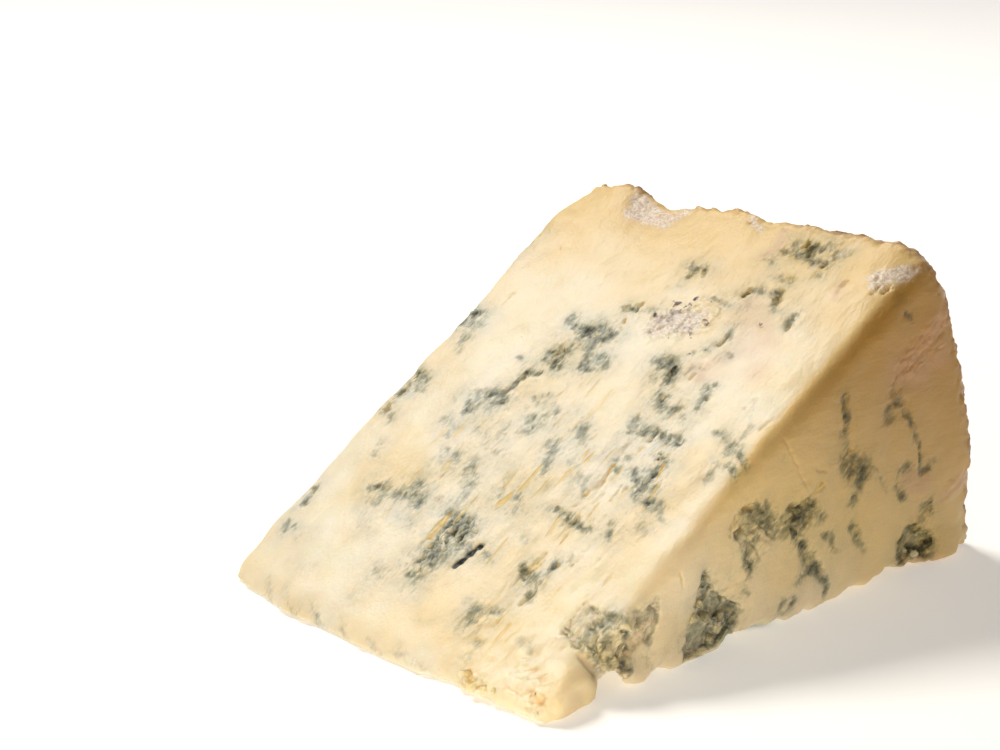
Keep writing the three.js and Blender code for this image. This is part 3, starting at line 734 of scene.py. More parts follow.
def scattered_specks(count: int, seed: int) -> list[Mark]:
    """Dark dry specks in the crusty patch of the upper cut.

    Args:
        count: How many there are.
        seed: The seed of the draws.

    Returns:
        The specks.
    """
    draw = np.random.default_rng(seed)
    found = []
    for _ in range(count):
        x = draw.normal(SPECKS_MIDDLE[0], SPECKS_SPREAD[0])
        radius = draw.normal(SPECKS_MIDDLE[1], SPECKS_SPREAD[1])
        path = ((x, radius), (x + draw.normal(0, 0.4), radius + draw.normal(0, 0.3)))
        found.append(Mark(Kind.CRUST, Face.UPPER, draw.uniform(0.6, 1.0), draw.uniform(0.2, 0.36), path))
    return found


def cracks_in_veins(veins: list[Mark], seed: int) -> list[Mark]:
    """Short cracks along the radius, painted dark for their shade, in the strong veins of the upper cut.

    Args:
        veins: The marks to draw them into.
        seed: The seed of the draws.

    Returns:
        The cracks, one or two in each vein that is strong enough.
    """
    draw = np.random.default_rng(seed)
    found = []
    for vein in veins:
        if vein.face is not Face.UPPER or vein.strength < 0.7 or vein.width < 0.6:
            continue
        for _ in range(draw.integers(1, 3)):
            share = draw.random()
            start, end = np.array(vein.path[0]), np.array(vein.path[-1])
            x, radius = start + share * (end - start) + draw.normal(0, 0.3, 2)
            run = draw.uniform(0.6, 2.4)
            path = ((x - draw.normal(0, 0.1), radius - run / 2), (x + draw.normal(0, 0.1), radius + run / 2))
            found.append(Mark(Kind.GAP, Face.UPPER, draw.uniform(0.3, 0.65), draw.uniform(0.18, 0.28), path))
    return found


@dataclass(frozen=True)
class Pocket:
    """A place where the paste has broken out, with lumps of it left between gaps.

    Sizes are in millimetres. The outline is given as places on the face, the slant of the lumps
    in degrees, and how dark their mould and painted shade are, as a share.
    """

    face: Face
    outline: tuple[tuple[float, float], ...]
    depth: float
    wall: float
    lump: float
    swing: float
    slant: float
    mouldy: float
    seed: int
    reach: float = 5.0
    stretch: float = 1.7
    stained: float = 0.0

    CROWDING: ClassVar[float] = 1.3
    GAP_WIDTH: ClassVar[float] = 0.22
    LUMP_WIDTH: ClassVar[float] = 0.7
    GRAIN_LENGTH: ClassVar[float] = 0.9
    ROUNDNESS: ClassVar[float] = 0.5
    UNEVENNESS: ClassVar[float] = 0.55
    GAP_DEPTH: ClassVar[float] = 0.9
    GRAIN: ClassVar[float] = 0.22
    LOW_LUMP_SHADE: ClassVar[float] = 0.55
    RIM_SHADE: ClassVar[float] = 0.5

    def share(self, places: np.ndarray) -> np.ndarray:
        """How much each place belongs to the pocket.

        Args:
            places: Points in the wheel's frame.

        Returns:
            Shares from 0 to 1, 1 inside the walls.
        """
        spots, height = self.face.flat(places)
        corners = np.array(self.outline)
        close = np.all((spots > corners.min(axis=0)) & (spots < corners.max(axis=0)), axis=1)
        index = np.flatnonzero(close & (np.abs(height) < self.reach))
        felt = np.zeros(len(places))
        felt[index] = smoothstep(0.0, self.wall, inside_distance(spots[index], corners))
        return felt

    def relief(self, places: np.ndarray, pushed: np.ndarray) -> tuple[np.ndarray, np.ndarray]:
        """The pocket's hollow and its lumps.

        Args:
            places: Points in the wheel's frame.
            pushed: The same pushed about, for a ragged edge.

        Returns:
            How far each point moves out, and how dark it is painted: mould in the gaps and over stained
            pockets, and painted shade on the low lumps and along the walls.
        """
        felt = self.share(pushed)
        index = np.flatnonzero(felt > 0)
        spots, height = self.face.flat(pushed[index])
        corners = np.array(self.outline)
        draw = np.random.default_rng(self.seed)
        turn = math.radians(self.slant)
        along = np.array([math.cos(turn), math.sin(turn)])
        axes = np.array([along / self.stretch, [-along[1], along[0]]]).T
        area = np.prod(np.ptp(corners, axis=0))
        count = int(area / (self.lump**2 * self.stretch) * self.CROWDING) + 4
        seeds = draw.uniform(corners.min(axis=0) - 1, corners.max(axis=0) + 1, (count, 2)) @ axes
        levels = draw.uniform(-1, 1, count)
        apart = np.linalg.norm((spots @ axes)[:, None] - seeds[None], axis=2)
        nearest = np.argmin(apart, axis=1)
        first, second = np.partition(apart, 1, axis=1)[:, :2].T
        gap = 1 - smoothstep(0.0, self.GAP_WIDTH * self.lump, second - first)
        dome = 1 - np.clip(first / (self.LUMP_WIDTH * self.lump), 0, 1) ** 2
        grain = Swell(self.seed)(places[index], self.GRAIN_LENGTH, 2)
        lumps = self.ROUNDNESS * dome + self.UNEVENNESS * levels[nearest] * (1 - gap)
        lumps += self.GRAIN * grain - self.GAP_DEPTH * gap
        moved, gaps = np.zeros(len(places)), np.zeros(len(places))
        moved[index] = felt[index] * (self.swing * lumps - self.depth)
        # Painted shade with the mould: the low lumps and a band along the walls are darkened too.
        low = smoothstep(0.2, -0.8, levels[nearest])
        rim = 1 - np.abs(2 * felt[index] - 1)
        stain_and_shade = np.maximum(self.stained, self.LOW_LUMP_SHADE * low)
        stain_and_shade = felt[index] * np.maximum(gap, stain_and_shade) + self.RIM_SHADE * rim
        gaps[index] = self.mouldy * np.clip(stain_and_shade, 0, 1)
        return moved, gaps


POCKETS = (
    Pocket(
        Face.NEAR,
        (
            (36.2, 14.4), (37.6, 12.8), (39.0, 11.2), (40.4, 9.9), (41.8, 8.3), (43.6, 7.2), (45.3, 6.2),
            (45.0, 4.4), (43.8, 3.0), (43.0, 1.6), (40.0, 0.6), (36.0, 0.2), (32.8, 0.6), (32.6, 3.0),
            (33.6, 4.4), (34.6, 6.0), (35.6, 7.6), (34.6, 8.6), (35.0, 9.8), (35.4, 11.6), (35.4, 13.4),
        ),
        depth=1.2, wall=0.6, lump=3.3, swing=1.0, slant=48, mouldy=0.9, seed=11, stained=0.5,
    ),
    Pocket(
        Face.NEAR,
        (
            (10.6, 11.4), (13.0, 13.4), (17.5, 14.0), (20.5, 11.6), (22.6, 12.0), (26.4, 12.8), (27.4, 9.6),
            (26.2, 6.4), (21.0, 5.6), (20.4, 3.0), (18.2, 0.4), (16.6, 3.2), (14.2, 6.0), (12.4, 8.6),
        ),
        depth=0.2, wall=1.2, lump=2.5, swing=0.7, slant=62, mouldy=0.6, seed=12, reach=8.0, stretch=2.6,
    ),
    Pocket(
        Face.NEAR,
        (
            (83.0, 5.6), (85.4, 7.8), (87.6, 7.6), (90.8, 5.8), (91.6, 3.6), (90.0, 1.4), (84.4, 1.2),
            (82.6, 3.4),
        ),
        depth=0.5, wall=0.6, lump=2.4, swing=0.8, slant=20, mouldy=0.9, seed=13, stained=0.5,
    ),
    Pocket(
        Face.NEAR,
        ((53.0, 18.6), (55.6, 20.4), (59.0, 20.2), (61.4, 18.4), (60.4, 15.6), (56.6, 14.6), (53.4, 16.2)),
        depth=0.25, wall=0.8, lump=2.0, swing=0.5, slant=10, mouldy=0.75, seed=14,
    ),
    Pocket(
        Face.NEAR,
        ((41.8, 18.6), (44.2, 21.4), (47.6, 21.0), (50.4, 19.4), (51.4, 15.6), (47.6, 11.4), (45.0, 11.4)),
        depth=0.15, wall=1.0, lump=2.4, swing=0.45, slant=-50, mouldy=0.5, seed=15, stretch=2.4,
    ),
    Pocket(
        Face.NEAR,
        ((77.0, 33.0), (83.0, 33.6), (90.0, 36.4), (92.0, 41.0), (88.0, 44.0), (83.0, 41.6), (78.6, 38.4)),
        depth=0.0, wall=1.6, lump=1.3, swing=0.16, slant=25, mouldy=0.12, seed=20, stretch=2.0,
    ),
    Pocket(
        Face.UPPER,
        (
            (-2.4, 76.6), (2.0, 79.6), (5.0, 82.2), (10.6, 81.4), (11.0, 77.0), (8.0, 72.4), (3.0, 69.4),
            (-0.6, 70.6),
        ),
        depth=0.0, wall=1.4, lump=0.8, swing=0.13, slant=30, mouldy=0.1, seed=16,
    ),
    Pocket(
        Face.UPPER,
        ((-6.2, 28.4), (-2.0, 29.0), (2.4, 26.8), (1.8, 20.4), (0.6, 14.6), (-3.2, 13.8), (-5.2, 19.0)),
        depth=0.05, wall=1.4, lump=1.2, swing=0.34, slant=95, mouldy=0.35, seed=17, stretch=2.4,
    ),
    Pocket(
        Face.UPPER,
        ((16.0, 3.2), (17.6, 5.6), (21.0, 6.0), (25.2, 5.4), (26.0, 2.0), (20.0, 1.0)),
        depth=0.0, wall=0.9, lump=1.5, swing=0.55, slant=15, mouldy=0.05, seed=18,
    ),
    Pocket(
        Face.UPPER,
        ((24.8, 11.0), (28.6, 11.6), (34.6, 8.6), (35.2, 5.6), (32.6, 3.6), (26.4, 4.4)),
        depth=0.10, wall=1.2, lump=2.6, swing=0.28, slant=20, mouldy=0.0, seed=19,
    ),
)


@dataclass(frozen=True)
class Relief:
    """How far each kind of relief stands out or sinks in, in millimetres."""

    waves: float = 0.20
    grain: float = 0.14
    ripples: float = 0.12
    combing: float = 0.34
    bark: float = 0.36
    bulges: float = 0.30
    pits: float = 0.40
    arris: float = 0.90
    nose: float = 0.28
    vein: float = 0.28
    vein_grain: float = 0.60
    tear: float = 0.50
    lip: float = 0.20
    gap: float = 1.30
    crater: float = 0.35
    crater_grain: float = 0.40
    crust: float = 0.22
    bloom_and_glints: float = 0.16


@dataclass
class Wedge:
    """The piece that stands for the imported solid: a fine mesh with the relief and marks of the paste.

    Sizes are in millimetres.
    """

    voxel: float = 0.92
    smoothing: int = 4
    seed: int = 41
    relief: Relief = Relief()
    arris_width: float = 2.8
    chip_height: float = 1.5
    chip_length: float = 4.5
    piece: bpy.types.Object | None = None
    marks: list[Mark] = field(default_factory=list)
    gaps: np.ndarray | None = None

    def build(self) -> bpy.types.Object:
        """Makes the mesh, shapes its relief and writes its marks.

        Returns:
            The finished piece, without its finish.
        """
        self.marks = [
            *PLACED_MARKS,
            *scattered_veins(Face.FAR, 11, self.seed),
            *scattered_veins(Face.LOWER, 22, self.seed + 1),
            *scattered_tears(200, self.seed + 2),
            *cracks_in_veins(PLACED_MARKS, self.seed + 3),
            *scattered_specks(90, self.seed + 4),
        ]
        self.copy_solid()
        self.remesh()
        self.refine()
        self.shape()
        self.paint()
        return self.piece

    def copy_solid(self) -> None:
        """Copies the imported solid's mesh and joins its loose triangles."""
        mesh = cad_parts[NODE].data.copy()
        mesh.name = "wedge"
        mesh.materials.clear()
        self.piece = bpy.data.objects.new("wedge", mesh)
        bpy.context.scene.collection.objects.link(self.piece)
        select_only(self.piece)
        bpy.ops.object.mode_set(mode="EDIT")
        bpy.ops.mesh.select_all(action="SELECT")
        bpy.ops.mesh.remove_doubles(threshold=0.002 * MM)
        bpy.ops.mesh.customdata_custom_splitnormals_clear()
        bpy.ops.object.mode_set(mode="OBJECT")

    def remesh(self) -> None:
        """Gives the solid an even fine mesh, and softens the facets of its upper faces."""
        remesh = self.piece.modifiers.new("Even mesh", "REMESH")
        remesh.mode = "VOXEL"
        remesh.voxel_size = self.voxel * MM
        bpy.ops.object.modifier_apply(modifier=remesh.name)
        self.select(lambda centres: centres[:, 2] > 1.4)
        bpy.ops.object.mode_set(mode="EDIT")
        bpy.ops.mesh.vertices_smooth(factor=0.5, repeat=self.smoothing)
        bpy.ops.object.mode_set(mode="OBJECT")
        log.info("even mesh: %d faces", len(self.piece.data.polygons))

    def places(self) -> np.ndarray:
        """The mesh's points in the wheel's frame, in millimetres."""
        flat = np.empty(len(self.piece.data.vertices) * 3)
        self.piece.data.vertices.foreach_get("co", flat)
        return flat.reshape(-1, 3) / MM + MIDDLE

    def normals(self) -> np.ndarray:
        """The mesh's normals at its points."""
        flat = np.empty(len(self.piece.data.vertices) * 3)
        self.piece.data.vertex_normals.foreach_get("vector", flat)
        return flat.reshape(-1, 3)

    def move(self, places: np.ndarray) -> None:
        """Puts the mesh's points at these places of the wheel's frame."""
        self.piece.data.vertices.foreach_set("co", ((places - MIDDLE) * MM).ravel())
        self.piece.data.update()

    def select(self, test: Callable[[np.ndarray], np.ndarray]) -> int:
        """Selects the faces whose middles pass a test, and nothing else.

        Args:
            test: Takes the faces' middles in the wheel's frame and says which pass.

        Returns:
            How many faces are selected.
        """
        select_only(self.piece)
        bpy.ops.object.mode_set(mode="EDIT")
        bpy.ops.mesh.select_mode(type="FACE")
        bpy.ops.mesh.select_all(action="DESELECT")
        bpy.ops.object.mode_set(mode="OBJECT")
        faces = self.piece.data.polygons
        centres = np.empty(len(faces) * 3)
        faces.foreach_get("center", centres)
        chosen = test(centres.reshape(-1, 3) / MM + MIDDLE)
        faces.foreach_set("select", chosen)
        return int(chosen.sum())

    def refine(self) -> None:
        """Divides the faces near the marks, twice at the narrow ones, so that their relief is real."""
        for test in (self.near_relief, self.near_detail):
            chosen = self.select(test)
            bpy.ops.object.mode_set(mode="EDIT")
            bpy.ops.mesh.subdivide(number_cuts=1)
            bpy.ops.object.mode_set(mode="OBJECT")
            log.info("divided %d faces", chosen)
        bpy.ops.object.mode_set(mode="EDIT")
        bpy.ops.mesh.select_all(action="SELECT")
        bpy.ops.mesh.quads_convert_to_tris(quad_method="BEAUTY", ngon_method="BEAUTY")
        bpy.ops.mesh.select_all(action="DESELECT")
        bpy.ops.object.mode_set(mode="OBJECT")

    def near_relief(self, centres: np.ndarray) -> np.ndarray:
        """Which of these places of the wheel's frame lie where there is relief of any kind."""
        chosen = self.near_marks(centres, 0.9, (Kind.MOULD, Kind.TEAR, Kind.GAP, Kind.CRUST), 0.3)
        outside = np.hypot(centres[:, 1], centres[:, 2]) > WHEEL_RADIUS - 2.5
        corner = centres[:, 0] > NEAR_END_X - 3.5
        top = Face.UPPER.flat(centres)[1] > -2.5
        return chosen | self.in_pockets(centres) | (combed_middle(centres) > 0.3) | (outside & (corner | top))

    def near_detail(self, centres: np.ndarray) -> np.ndarray:
        """Which of these places of the wheel's frame lie in a pocket or by a tear or a gap."""
        return self.near_marks(centres, 0.35, (Kind.TEAR, Kind.GAP), 0.35) | self.in_pockets(centres)

    def in_pockets(self, places: np.ndarray) -> np.ndarray:
        """Which of these places of the wheel's frame lie in a pocket."""
        return np.any([pocket.share(places) > 0 for pocket in POCKETS], axis=0)

    def near_marks(
        self, places: np.ndarray, reach: float, kinds: tuple[Kind, ...], least: float
    ) -> np.ndarray:
        """Which places lie near a mark.

        Args:
            places: Points in the wheel's frame.
            reach: How far beyond the mark's own width counts as near.
            kinds: The kinds of mark that count.
            least: The least strength that counts.

        Returns:
            True for each place that is near.
        """
        near = np.zeros(len(places), bool)
        for mark in self.marks:
            if mark.kind not in kinds or mark.strength < least:
                continue
            limit = mark.width + reach * (0.5 if mark.face in (Face.FAR, Face.LOWER) else 1.0)
            index = within(places, mark.points(), limit)
            near[index] |= mark.distance(places[index]) < limit
        return near

    def felt(self, places: np.ndarray, kind: Kind, spread: float = 1.0, extra: float = 0.0) -> np.ndarray:
        """How strongly the marks of one kind are felt at each place.

        Args:
            places: Points in the wheel's frame.
            kind: The kind of mark.
            spread: What each mark's width is multiplied by.
            extra: What is then added to its width.

        Returns:
            One strength for each place, from 0 to 1.
        """
        total = np.zeros(len(places))
        for mark in self.marks:
            if mark.kind is not kind:
                continue
            width = mark.width * spread + extra
            index = within(places, mark.points(), FELT_REACH * width)
            own = mark.strength * np.exp(-((mark.distance(places[index]) / width) ** 2))
            total[index] = 1 - (1 - total[index]) * (1 - own)
        return total

    def pushed(self, places: np.ndarray, seed: int, share: float = 1.0) -> np.ndarray:
        """The places pushed about, so that what is placed by a plain path gets a ragged edge.

        Args:
            places: Points in the wheel's frame.
            seed: The seed of the swells.
            share: How much of the full push is felt.

        Returns:
            The pushed points.
        """
        pushes = []
        for axis in range(3):
            swell = Swell(seed + axis)
            long = LONG_PUSH[0] * share * swell(places, LONG_PUSH[1])
            pushes.append(long + SHORT_PUSH[0] * swell(places + 50, SHORT_PUSH[1]))
        return places + np.stack(pushes, axis=1) * min(1.0, share * 2)

    def shape(self) -> None:
        """Gives the faces their relief, less of it by the floor, so that the wedge lies flat."""
        places, normals = self.places(), self.normals()
        height = places[:, 2]
        moved = self.faces_relief(places, normals) + self.marks_relief(places)
        step = normals.copy()
        step[:, 2] *= smoothstep(0.15, 1.6, height)
        result = places + step * moved[:, None] * smoothstep(-0.05, 0.5, height)[:, None]
        result[:, 2] = np.maximum(result[:, 2], 0.0) + self.chips(places)
        self.move(result)

    def faces_relief(self, places: np.ndarray, normals: np.ndarray) -> np.ndarray:
        """The relief of whole faces: waves, grain, combing, bark, and the worn arris and nose.

        Args:
            places: Points in the wheel's frame.
            normals: The mesh's normals there.

        Returns:
            How far each point moves out, in millimetres.
        """
        size = self.relief
        radius = np.hypot(places[:, 1], places[:, 2])
        rind = smoothstep(WHEEL_RADIUS - 4, WHEEL_RADIUS - 1, radius)
        upper, near = faces_up(normals), faces_near(normals)
        turned = places @ turn_to_cut()
        drawn = turned * np.array([1.0, 0.26, 1.0])
        ripples = places * np.array([1.0, 0.30, 1.0])
        moved = size.waves * Swell(3)(places, 6.0, 3)
        moved += upper * (1 - rind) * size.grain * Swell(4)(drawn, 1.6, 2)
        moved += near * (1 - rind) * size.ripples * Swell(5)(ripples, 1.2, 2)
        moved -= size.combing * upper * combing(turned) * combed_middle(places)
        moved += rind * (size.bark * Swell(6)(places, 1.7, 3) + size.bulges * Swell(15)(places, 7.0, 2))
        moved -= rind * size.pits * smoothstep(0.25, 0.7, Swell(7)(places, 1.7))
        corner = np.linalg.norm(places - FAR_CORNER, axis=1) / FAR_CORNER_REACH
        moved += FAR_CORNER_SWELL * np.exp(-(corner**2))
        arris = np.hypot(places[:, 0] - NEAR_END_X, Face.UPPER.flat(places)[1]) / self.arris_width
        moved -= size.arris * np.exp(-(arris**2)) * smoothstep(50, 90, radius)
        nose = smoothstep(16, 10, places[:, 1]) * smoothstep(10, 16, places[:, 0])
        return moved + size.nose * nose * Swell(14)(places, 2.4, 3)

    def marks_relief(self, places: np.ndarray) -> np.ndarray:
        """The relief of the marks and pockets: sunken veins and tears, gaps, crust and lumps.

        Args:
            places: Points in the wheel's frame.

        Returns:
            How far each point moves out, in millimetres.
        """
        size = self.relief
        ragged, slightly = self.ragged(places)
        rough = Swell(8)(places @ turn_to_cut() * np.array([1.0, 0.5, 1.0]), 1.2, 3)
        moved = -self.felt(ragged, Kind.MOULD) * (size.vein + size.vein_grain * rough)
        moved -= size.tear * self.felt(slightly, Kind.TEAR, 1.15)
        moved += size.lip * self.felt(slightly - TEAR_LIP, Kind.TEAR, 1.5)
        moved -= size.gap * self.felt(slightly, Kind.GAP, 1.1)
        moved -= self.felt(ragged, Kind.AMBER) * (size.crater + size.crater_grain * rough)
        moved += size.crust * self.felt(ragged, Kind.CRUST) * (1 + rough)
        moved += size.bloom_and_glints * self.felt(ragged, Kind.BLOOM) * Swell(9)(places, 1.1, 2)
        self.gaps = np.zeros(len(places))
        for pocket in POCKETS:
            relief, gaps = pocket.relief(places, ragged)
            moved += relief
            self.gaps = np.maximum(self.gaps, gaps)
        return moved

    def ragged(self, places: np.ndarray) -> tuple[np.ndarray, np.ndarray]:
        """The places pushed about for ragged marks, and pushed less for the crisp ones."""
        return self.pushed(places, 20), self.pushed(places, 26, 0.35)

    def chips(self, places: np.ndarray) -> np.ndarray:
        """How far small chips lift the lower edge of the near end, at each of these places."""
        along = places * np.array([0.3, 1.0, 0.3])
        lift = self.chip_height * smoothstep(-0.25, 0.75, Swell(51)(along, self.chip_length, 3))
        edge = smoothstep(NEAR_END_X - 4.0, NEAR_END_X - 1.0, places[:, 0])
        return lift * edge * smoothstep(5.0, 0.5, places[:, 2]) * smoothstep(3, 7, places[:, 1])

    def paint(self) -> None:
        """Writes the marks as attributes that the finish reads."""
        places = self.places()
        ragged, slightly = self.ragged(places)
        radius = np.hypot(places[:, 1], places[:, 2])
        mould = self.felt(ragged, Kind.MOULD, 1.05, 0.08)
        # The pockets add their mould and the painted shade of their low lumps and walls to the mould layer.
        self.write("mould", 1 - (1 - mould) * (1 - 0.9 * self.gaps))
        end = faces_near(self.normals())
        self.write("end", end)
        self.write("haze", self.felt(ragged, Kind.MOULD, 2.3, 1.2) * (1 - 0.45 * end))
        self.write("tear", self.felt(slightly, Kind.TEAR))
        self.write("combed", faces_up(self.normals()) * combed_middle(places))
        # The gap layer carries the gaps and the painted shade of what lies deep in them.
        self.write("gap", np.maximum(self.felt(slightly, Kind.GAP), self.sunken(places)))
        for kind in (Kind.AMBER, Kind.BLUSH, Kind.BLOOM, Kind.CRUST):
            self.write(kind.value, self.felt(ragged, kind))
        uneven = 0.9 * Swell(31)(places, 7.0, 2)
        self.write("rind", smoothstep(WHEEL_RADIUS - 2.2, WHEEL_RADIUS - 0.2, radius + 0.6 * uneven))
        # The ripe layer also carries the painted shade of the near end.
        self.write("ripe_and_end_shade", self.ripeness_and_end_shade(places, radius + 6 * uneven))

    def sunken(self, places: np.ndarray) -> np.ndarray:
        """Painted shade: how dark each place is for lying deep in an open gap.

        Args:
            places: Points in the wheel's frame.

        Returns:
            Shares from 0 to 1.
        """
        close = smoothstep(0.15, 0.5, self.felt(places, Kind.GAP, 1.4, 0.5))
        _, height = Face.UPPER.flat(places)
        inland = smoothstep(NEAR_END_X - 6, NEAR_END_X - 9, places[:, 0])
        return close * inland * smoothstep(-0.5, -1.4, height) * (height > -6)

    def ripeness_and_end_shade(self, places: np.ndarray, radius: np.ndarray) -> np.ndarray:
        """How far the paste has ripened to straw near the rind, and the painted shade over the near end, a
        darker gold.

        Args:
            places: Points in the wheel's frame.
            radius: How far each lies from the axis, with some unevenness.

        Returns:
            Shares from 0 to 1.
        """
        by_rind = 0.5 * smoothstep(66, 101, radius)
        # Painted shade: the near end, turned from the key light, is painted a darker gold, most towards its
        # top and the rind.
        on_near_end = smoothstep(NEAR_END_X - 3.2, NEAR_END_X - 0.4, places[:, 0])
        end_shade_rise = smoothstep(25, 105, 0.6 * places[:, 1] + 1.3 * places[:, 2])
        return np.maximum(by_rind, on_near_end * (0.15 + 0.85 * end_shade_rise))

    def write(self, name: str, values: np.ndarray) -> None:
        """Writes one number for each point of the mesh."""
        write_attribute(self.piece, name, values)


def write_attribute(piece: bpy.types.Object, name: str, values: np.ndarray) -> None:
    """Writes one number for each point of a piece's mesh."""
    layer = piece.data.attributes.new(name, "FLOAT", "POINT")
    layer.data.foreach_set("value", values.astype(np.float32))


def faces_up(normals: np.ndarray) -> np.ndarray:
    """How far each normal is that of the upper cut, from 0 to 1."""
    return smoothstep(0.55, 0.9, normals @ np.array([0, -CUT_SINE, CUT_COSINE]))


def faces_near(normals: np.ndarray) -> np.ndarray:
    """How far each normal is that of the near end, from 0 to 1."""
    return smoothstep(0.6, 0.9, normals[:, 0])


def combing(turned: np.ndarray) -> np.ndarray:
    """The fine tears that the blade combed into the upper cut.

    Args:
        turned: Points with the cut's radius along y.

    Returns:
        How deep each point lies in a tear, from 0 to 1.
    """
    return smoothstep(0.3, 0.7, Swell(12)(turned * np.array([1.0, 0.2, 1.0]), 1.3))


def combed_middle(places: np.ndarray) -> np.ndarray:
    """How much of the combing is felt: in patches over the veined middle of the upper cut.

    Args:
        places: Points in the wheel's frame.

    Returns:
        Shares from 0 to 1.
    """
    spots, height = Face.UPPER.flat(places)
    patches = smoothstep(-0.25, 0.35, Swell(13)(places, 6.0, 2))
    middle = np.exp(-(((spots[:, 0] + 1) / 20) ** 4) - ((spots[:, 1] - 38) / 22) ** 4)
    corner = 0.8 * np.exp(-(((spots[:, 0] - 21) / 8) ** 4) - ((spots[:, 1] - 20) / 12) ** 4)
    return np.maximum(middle, corner) * patches * (np.abs(height) < 4)


def inside_distance(spots: np.ndarray, corners: np.ndarray) -> np.ndarray:
    """How far inside a closed outline each spot lies.

    Args:
        spots: Places on a face.
        corners: The outline's corners, in order.

    Returns:
        The distance to the outline, below zero outside it.
    """
    best = np.full(len(spots), np.inf)
    inside = np.zeros(len(spots), bool)
    for start, end in zip(corners, np.roll(corners, -1, axis=0)):
        run = end - start
        share = np.clip((spots - start) @ run / (run @ run), 0, 1)
        best = np.minimum(best, np.linalg.norm(spots - start - share[:, None] * run, axis=1))
        crossed = (start[1] > spots[:, 1]) != (end[1] > spots[:, 1])
        where = start[0] + (spots[:, 1] - start[1]) * run[0] / (run[1] if run[1] else 1.0)
        inside ^= crossed & (spots[:, 0] < where)
    return np.where(inside, best, -best)


def select_only(piece: bpy.types.Object) -> None:
    """Makes a piece the active object and the only one selected."""
    bpy.ops.object.select_all(action="DESELECT")
    piece.select_set(True)
    bpy.context.view_layer.objects.active = piece


def within(places: np.ndarray, points: np.ndarray, reach: float) -> np.ndarray:
    """Which places lie in the box around some points.

    Args:
        places: The places that are asked about.
        points: The points.
        reach: How far the box goes beyond the points.

    Returns:
        The indices of those places.
    """
    low, high = points.min(axis=0) - reach, points.max(axis=0) + reach
    x = places[:, 0]
    index = np.flatnonzero((x > low[0]) & (x < high[0]))
    rest = places[index, 1:]
    return index[np.all((rest > low[1:]) & (rest < high[1:]), axis=1)]


def turn_to_cut() -> np.ndarray:
    """The matrix that turns places so that the upper cut's radius runs along y."""
    return np.array([[1, 0, 0], [0, CUT_COSINE, -CUT_SINE], [0, CUT_SINE, CUT_COSINE]])


@dataclass(frozen=True)
class Scatter:
    """Where some crumbs lie: along a line on one face, with their sizes in millimetres."""

    face: Face
    start: tuple[float, float]
    end: tuple[float, float]
    spread: float
    count: int
    least: float
    most: float
    mouldy: float


SCATTERS = (
    Scatter(Face.UPPER, (17.0, 3.6), (24.0, 2.6), 0.6, 4, 0.9, 1.8, 0.0),
    Scatter(Face.UPPER, (25.6, 4.6), (33.0, 3.4), 0.6, 2, 0.8, 1.4, 0.0),
    Scatter(Face.NEAR, (14.4, 9.4), (17.6, 5.0), 0.5, 2, 1.6, 2.4, 1.0),
    Scatter(Face.NEAR, (18.0, 9.6), (24.0, 8.6), 0.8, 1, 1.0, 1.6, 1.0),
    Scatter(Face.NEAR, (37.6, 7.0), (43.0, 4.4), 0.8, 3, 1.2, 2.4, 1.0),
    Scatter(Face.NEAR, (36.4, 3.0), (43.0, 2.2), 0.5, 2, 1.0, 1.8, 1.0),
    Scatter(Face.NEAR, (84.6, 4.0), (90.0, 3.6), 0.7, 3, 0.9, 1.6, 1.0),
)


@dataclass
class Crumbs:
    """The loose crumbs that cling in the cracks and pockets, joined in one piece."""

    seed: int = 77
    sunk: float = 0.52
    unevenness: float = 0.42
    lump_length: float = 0.9
    fineness: int = 3

    def build(self, wedge: bpy.types.Object) -> bpy.types.Object:
        """Makes every crumb on the wedge's surface and joins them.

        Args:
            wedge: The piece that they lie on.

        Returns:
            The joined piece, without its finish.
        """
        draw = np.random.default_rng(self.seed)
        made = [self.crumb(wedge, scatter, draw) for scatter in SCATTERS for _ in range(scatter.count)]
        bpy.ops.object.select_all(action="DESELECT")
        for crumb in made:
            crumb.select_set(True)
        bpy.context.view_layer.objects.active = made[0]
        bpy.ops.object.join()
        made[0].name = "crumbs"
        return made[0]

    def crumb(self, wedge: bpy.types.Object, scatter: Scatter, draw: np.random.Generator) -> bpy.types.Object:
        """Makes one uneven crumb where a scatter puts it.

        Args:
            wedge: The piece that it lies on.
            scatter: The place and the sizes to draw from.
            draw: The seeded draws.

        Returns:
            The crumb.
        """
        start, end = np.array(scatter.start), np.array(scatter.end)
        spot = start + draw.random() * (end - start) + draw.normal(0, scatter.spread, 2)
        aim = (scatter.face.place(spot[None])[0] - MIDDLE) * MM
        _, surface, outward, _ = wedge.closest_point_on_mesh(Vector(aim))
        half = draw.uniform(scatter.least, scatter.most) / 2
        bpy.ops.mesh.primitive_ico_sphere_add(subdivisions=self.fineness, radius=1)
        crumb = bpy.context.active_object
        flat = np.empty(len(crumb.data.vertices) * 3)
        crumb.data.vertices.foreach_get("co", flat)
        ball = flat.reshape(-1, 3)
        swell = Swell(int(draw.integers(1000)))
        ball *= (1 + self.unevenness * swell(ball, self.lump_length, 2))[:, None]
        ball *= np.array([1.0, draw.uniform(0.6, 0.95), draw.uniform(0.45, 0.75)])
        turn = np.array(Vector(draw.normal(size=3)).to_track_quat("Z", "Y").to_matrix())
        middle = np.array(surface) / MM + np.array(outward) * half * (1 - 2 * self.sunk)
        result = (ball @ turn.T) * half + middle
        result[:, 2] = np.maximum(result[:, 2], 0.0)
        crumb.data.vertices.foreach_set("co", (result * MM).ravel())
        mouldy = draw.uniform(0.4, 0.7) if draw.random() < scatter.mouldy else 0.2 * scatter.mouldy
        write_attribute(crumb, "mould", np.full(len(ball), mouldy))
        write_attribute(crumb, "haze", np.full(len(ball), min(1.0, 1.6 * mouldy)))
        write_attribute(crumb, "ripe_and_end_shade", np.full(len(ball), 0.2))
        return crumb


